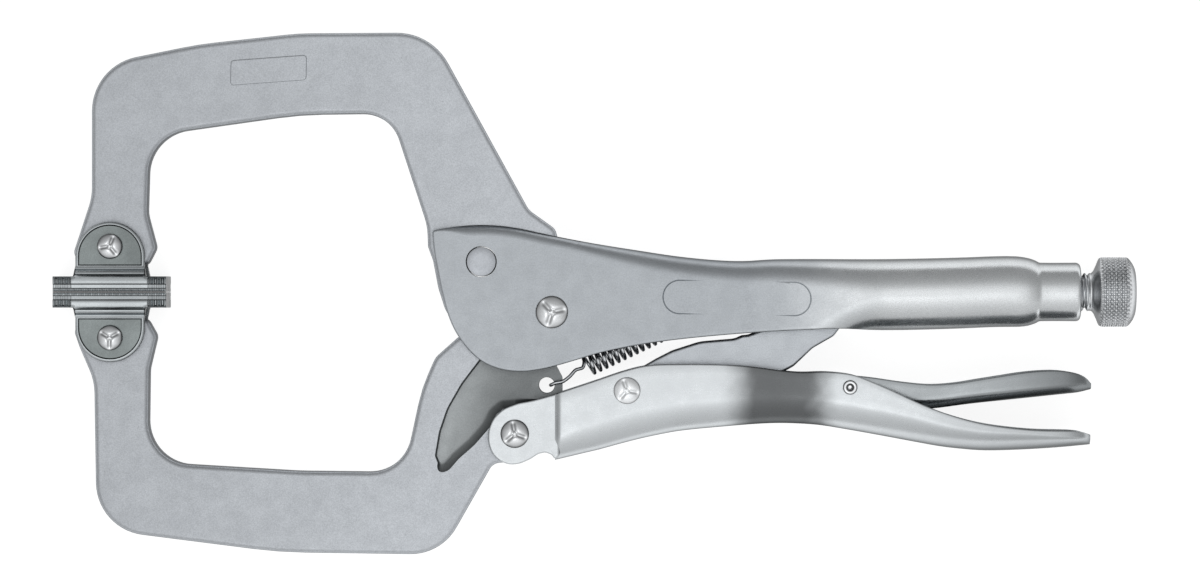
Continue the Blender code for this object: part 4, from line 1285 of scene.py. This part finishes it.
# ---------------------------------------------------------- floor and light
def make_floor():
    bm = bmesh.new()
    r = 3.0
    verts = [bm.verts.new(p) for p in ((-r, -r, 0), (r, -r, 0), (r, r, 0), (-r, r, 0))]
    bm.faces.new(verts)
    mesh = bpy.data.meshes.new("floor")
    bm.to_mesh(mesh)
    bm.free()
    floor = bpy.data.objects.new("floor", mesh)
    bpy.context.scene.collection.objects.link(floor)
    material = bpy.data.materials.new("floor_white")
    material.use_nodes = True
    shader = material.node_tree.nodes["Principled BSDF"]
    shader.inputs["Base Color"].default_value = (0.35, 0.35, 0.35, 1.0)
    shader.inputs["Roughness"].default_value = 1.0
    shader.inputs["Specular IOR Level"].default_value = 0.0
    shader.inputs["Emission Color"].default_value = (1.0, 1.0, 1.0, 1.0)
    shader.inputs["Emission Strength"].default_value = 0.86
    mesh.materials.append(material)


def make_light():
    world_data = bpy.data.worlds.new("studio")
    world_data.use_nodes = True
    tree = world_data.node_tree
    for node in list(tree.nodes):
        tree.nodes.remove(node)
    coord = tree.nodes.new("ShaderNodeTexCoord")
    split = tree.nodes.new("ShaderNodeSeparateXYZ")
    tree.links.new(coord.outputs["Generated"], split.inputs["Vector"])
    def ramp(value, stops):
        node = tree.nodes.new("ShaderNodeValToRGB")
        node.color_ramp.interpolation = "EASE"
        while len(node.color_ramp.elements) < len(stops):
            node.color_ramp.elements.new(0.5)
        for element, (place, level) in zip(node.color_ramp.elements, stops):
            element.position = place
            element.color = (level, level, level, 1.0)
        tree.links.new(value, node.inputs["Fac"])
        return node.outputs["Color"]
    height = ramp(split.outputs["Z"], ((0.0, 0.38), (0.34, 0.44), (0.64, 0.50), (0.82, 0.61),
                                       (0.94, 0.88), (1.0, 1.0)))
    shift = tree.nodes.new("ShaderNodeMath")
    shift.operation = "MULTIPLY_ADD"
    tree.links.new(split.outputs["Y"], shift.inputs[0])
    shift.inputs[1].default_value = 0.5
    shift.inputs[2].default_value = 0.5
    near = ramp(shift.outputs["Value"], ((0.0, 1.5), (0.2, 1.5), (0.4, 1.1), (0.55, 1.0),
                                         (0.75, 0.8), (1.0, 0.75)))
    both = tree.nodes.new("ShaderNodeMath")
    both.operation = "MULTIPLY"
    tree.links.new(height, both.inputs[0])
    tree.links.new(near, both.inputs[1])
    back = tree.nodes.new("ShaderNodeBackground")
    back.inputs["Color"].default_value = (1.0, 1.0, 1.0, 1.0)
    tree.links.new(both.outputs["Value"], back.inputs["Strength"])
    out = tree.nodes.new("ShaderNodeOutputWorld")
    tree.links.new(back.outputs["Background"], out.inputs["Surface"])
    bpy.context.scene.world = world_data

    def area(name, place, size, power):
        data = bpy.data.lights.new(name, "AREA")
        data.shape = "DISK"
        data.size = size
        data.energy = power
        lamp = bpy.data.objects.new(name, data)
        lamp.location = place
        lamp.rotation_euler = Vector(place).to_track_quat("Z", "Y").to_euler()
        bpy.context.scene.collection.objects.link(lamp)
    area("key_light", (-0.35, -0.55, 2.6), 1.2, 1.6)


make_floor()
make_light()
bpy.context.scene.view_settings.view_transform = "Standard"


def corners(bounds):
    return [[float(c) for c in corner] for corner in bounds]
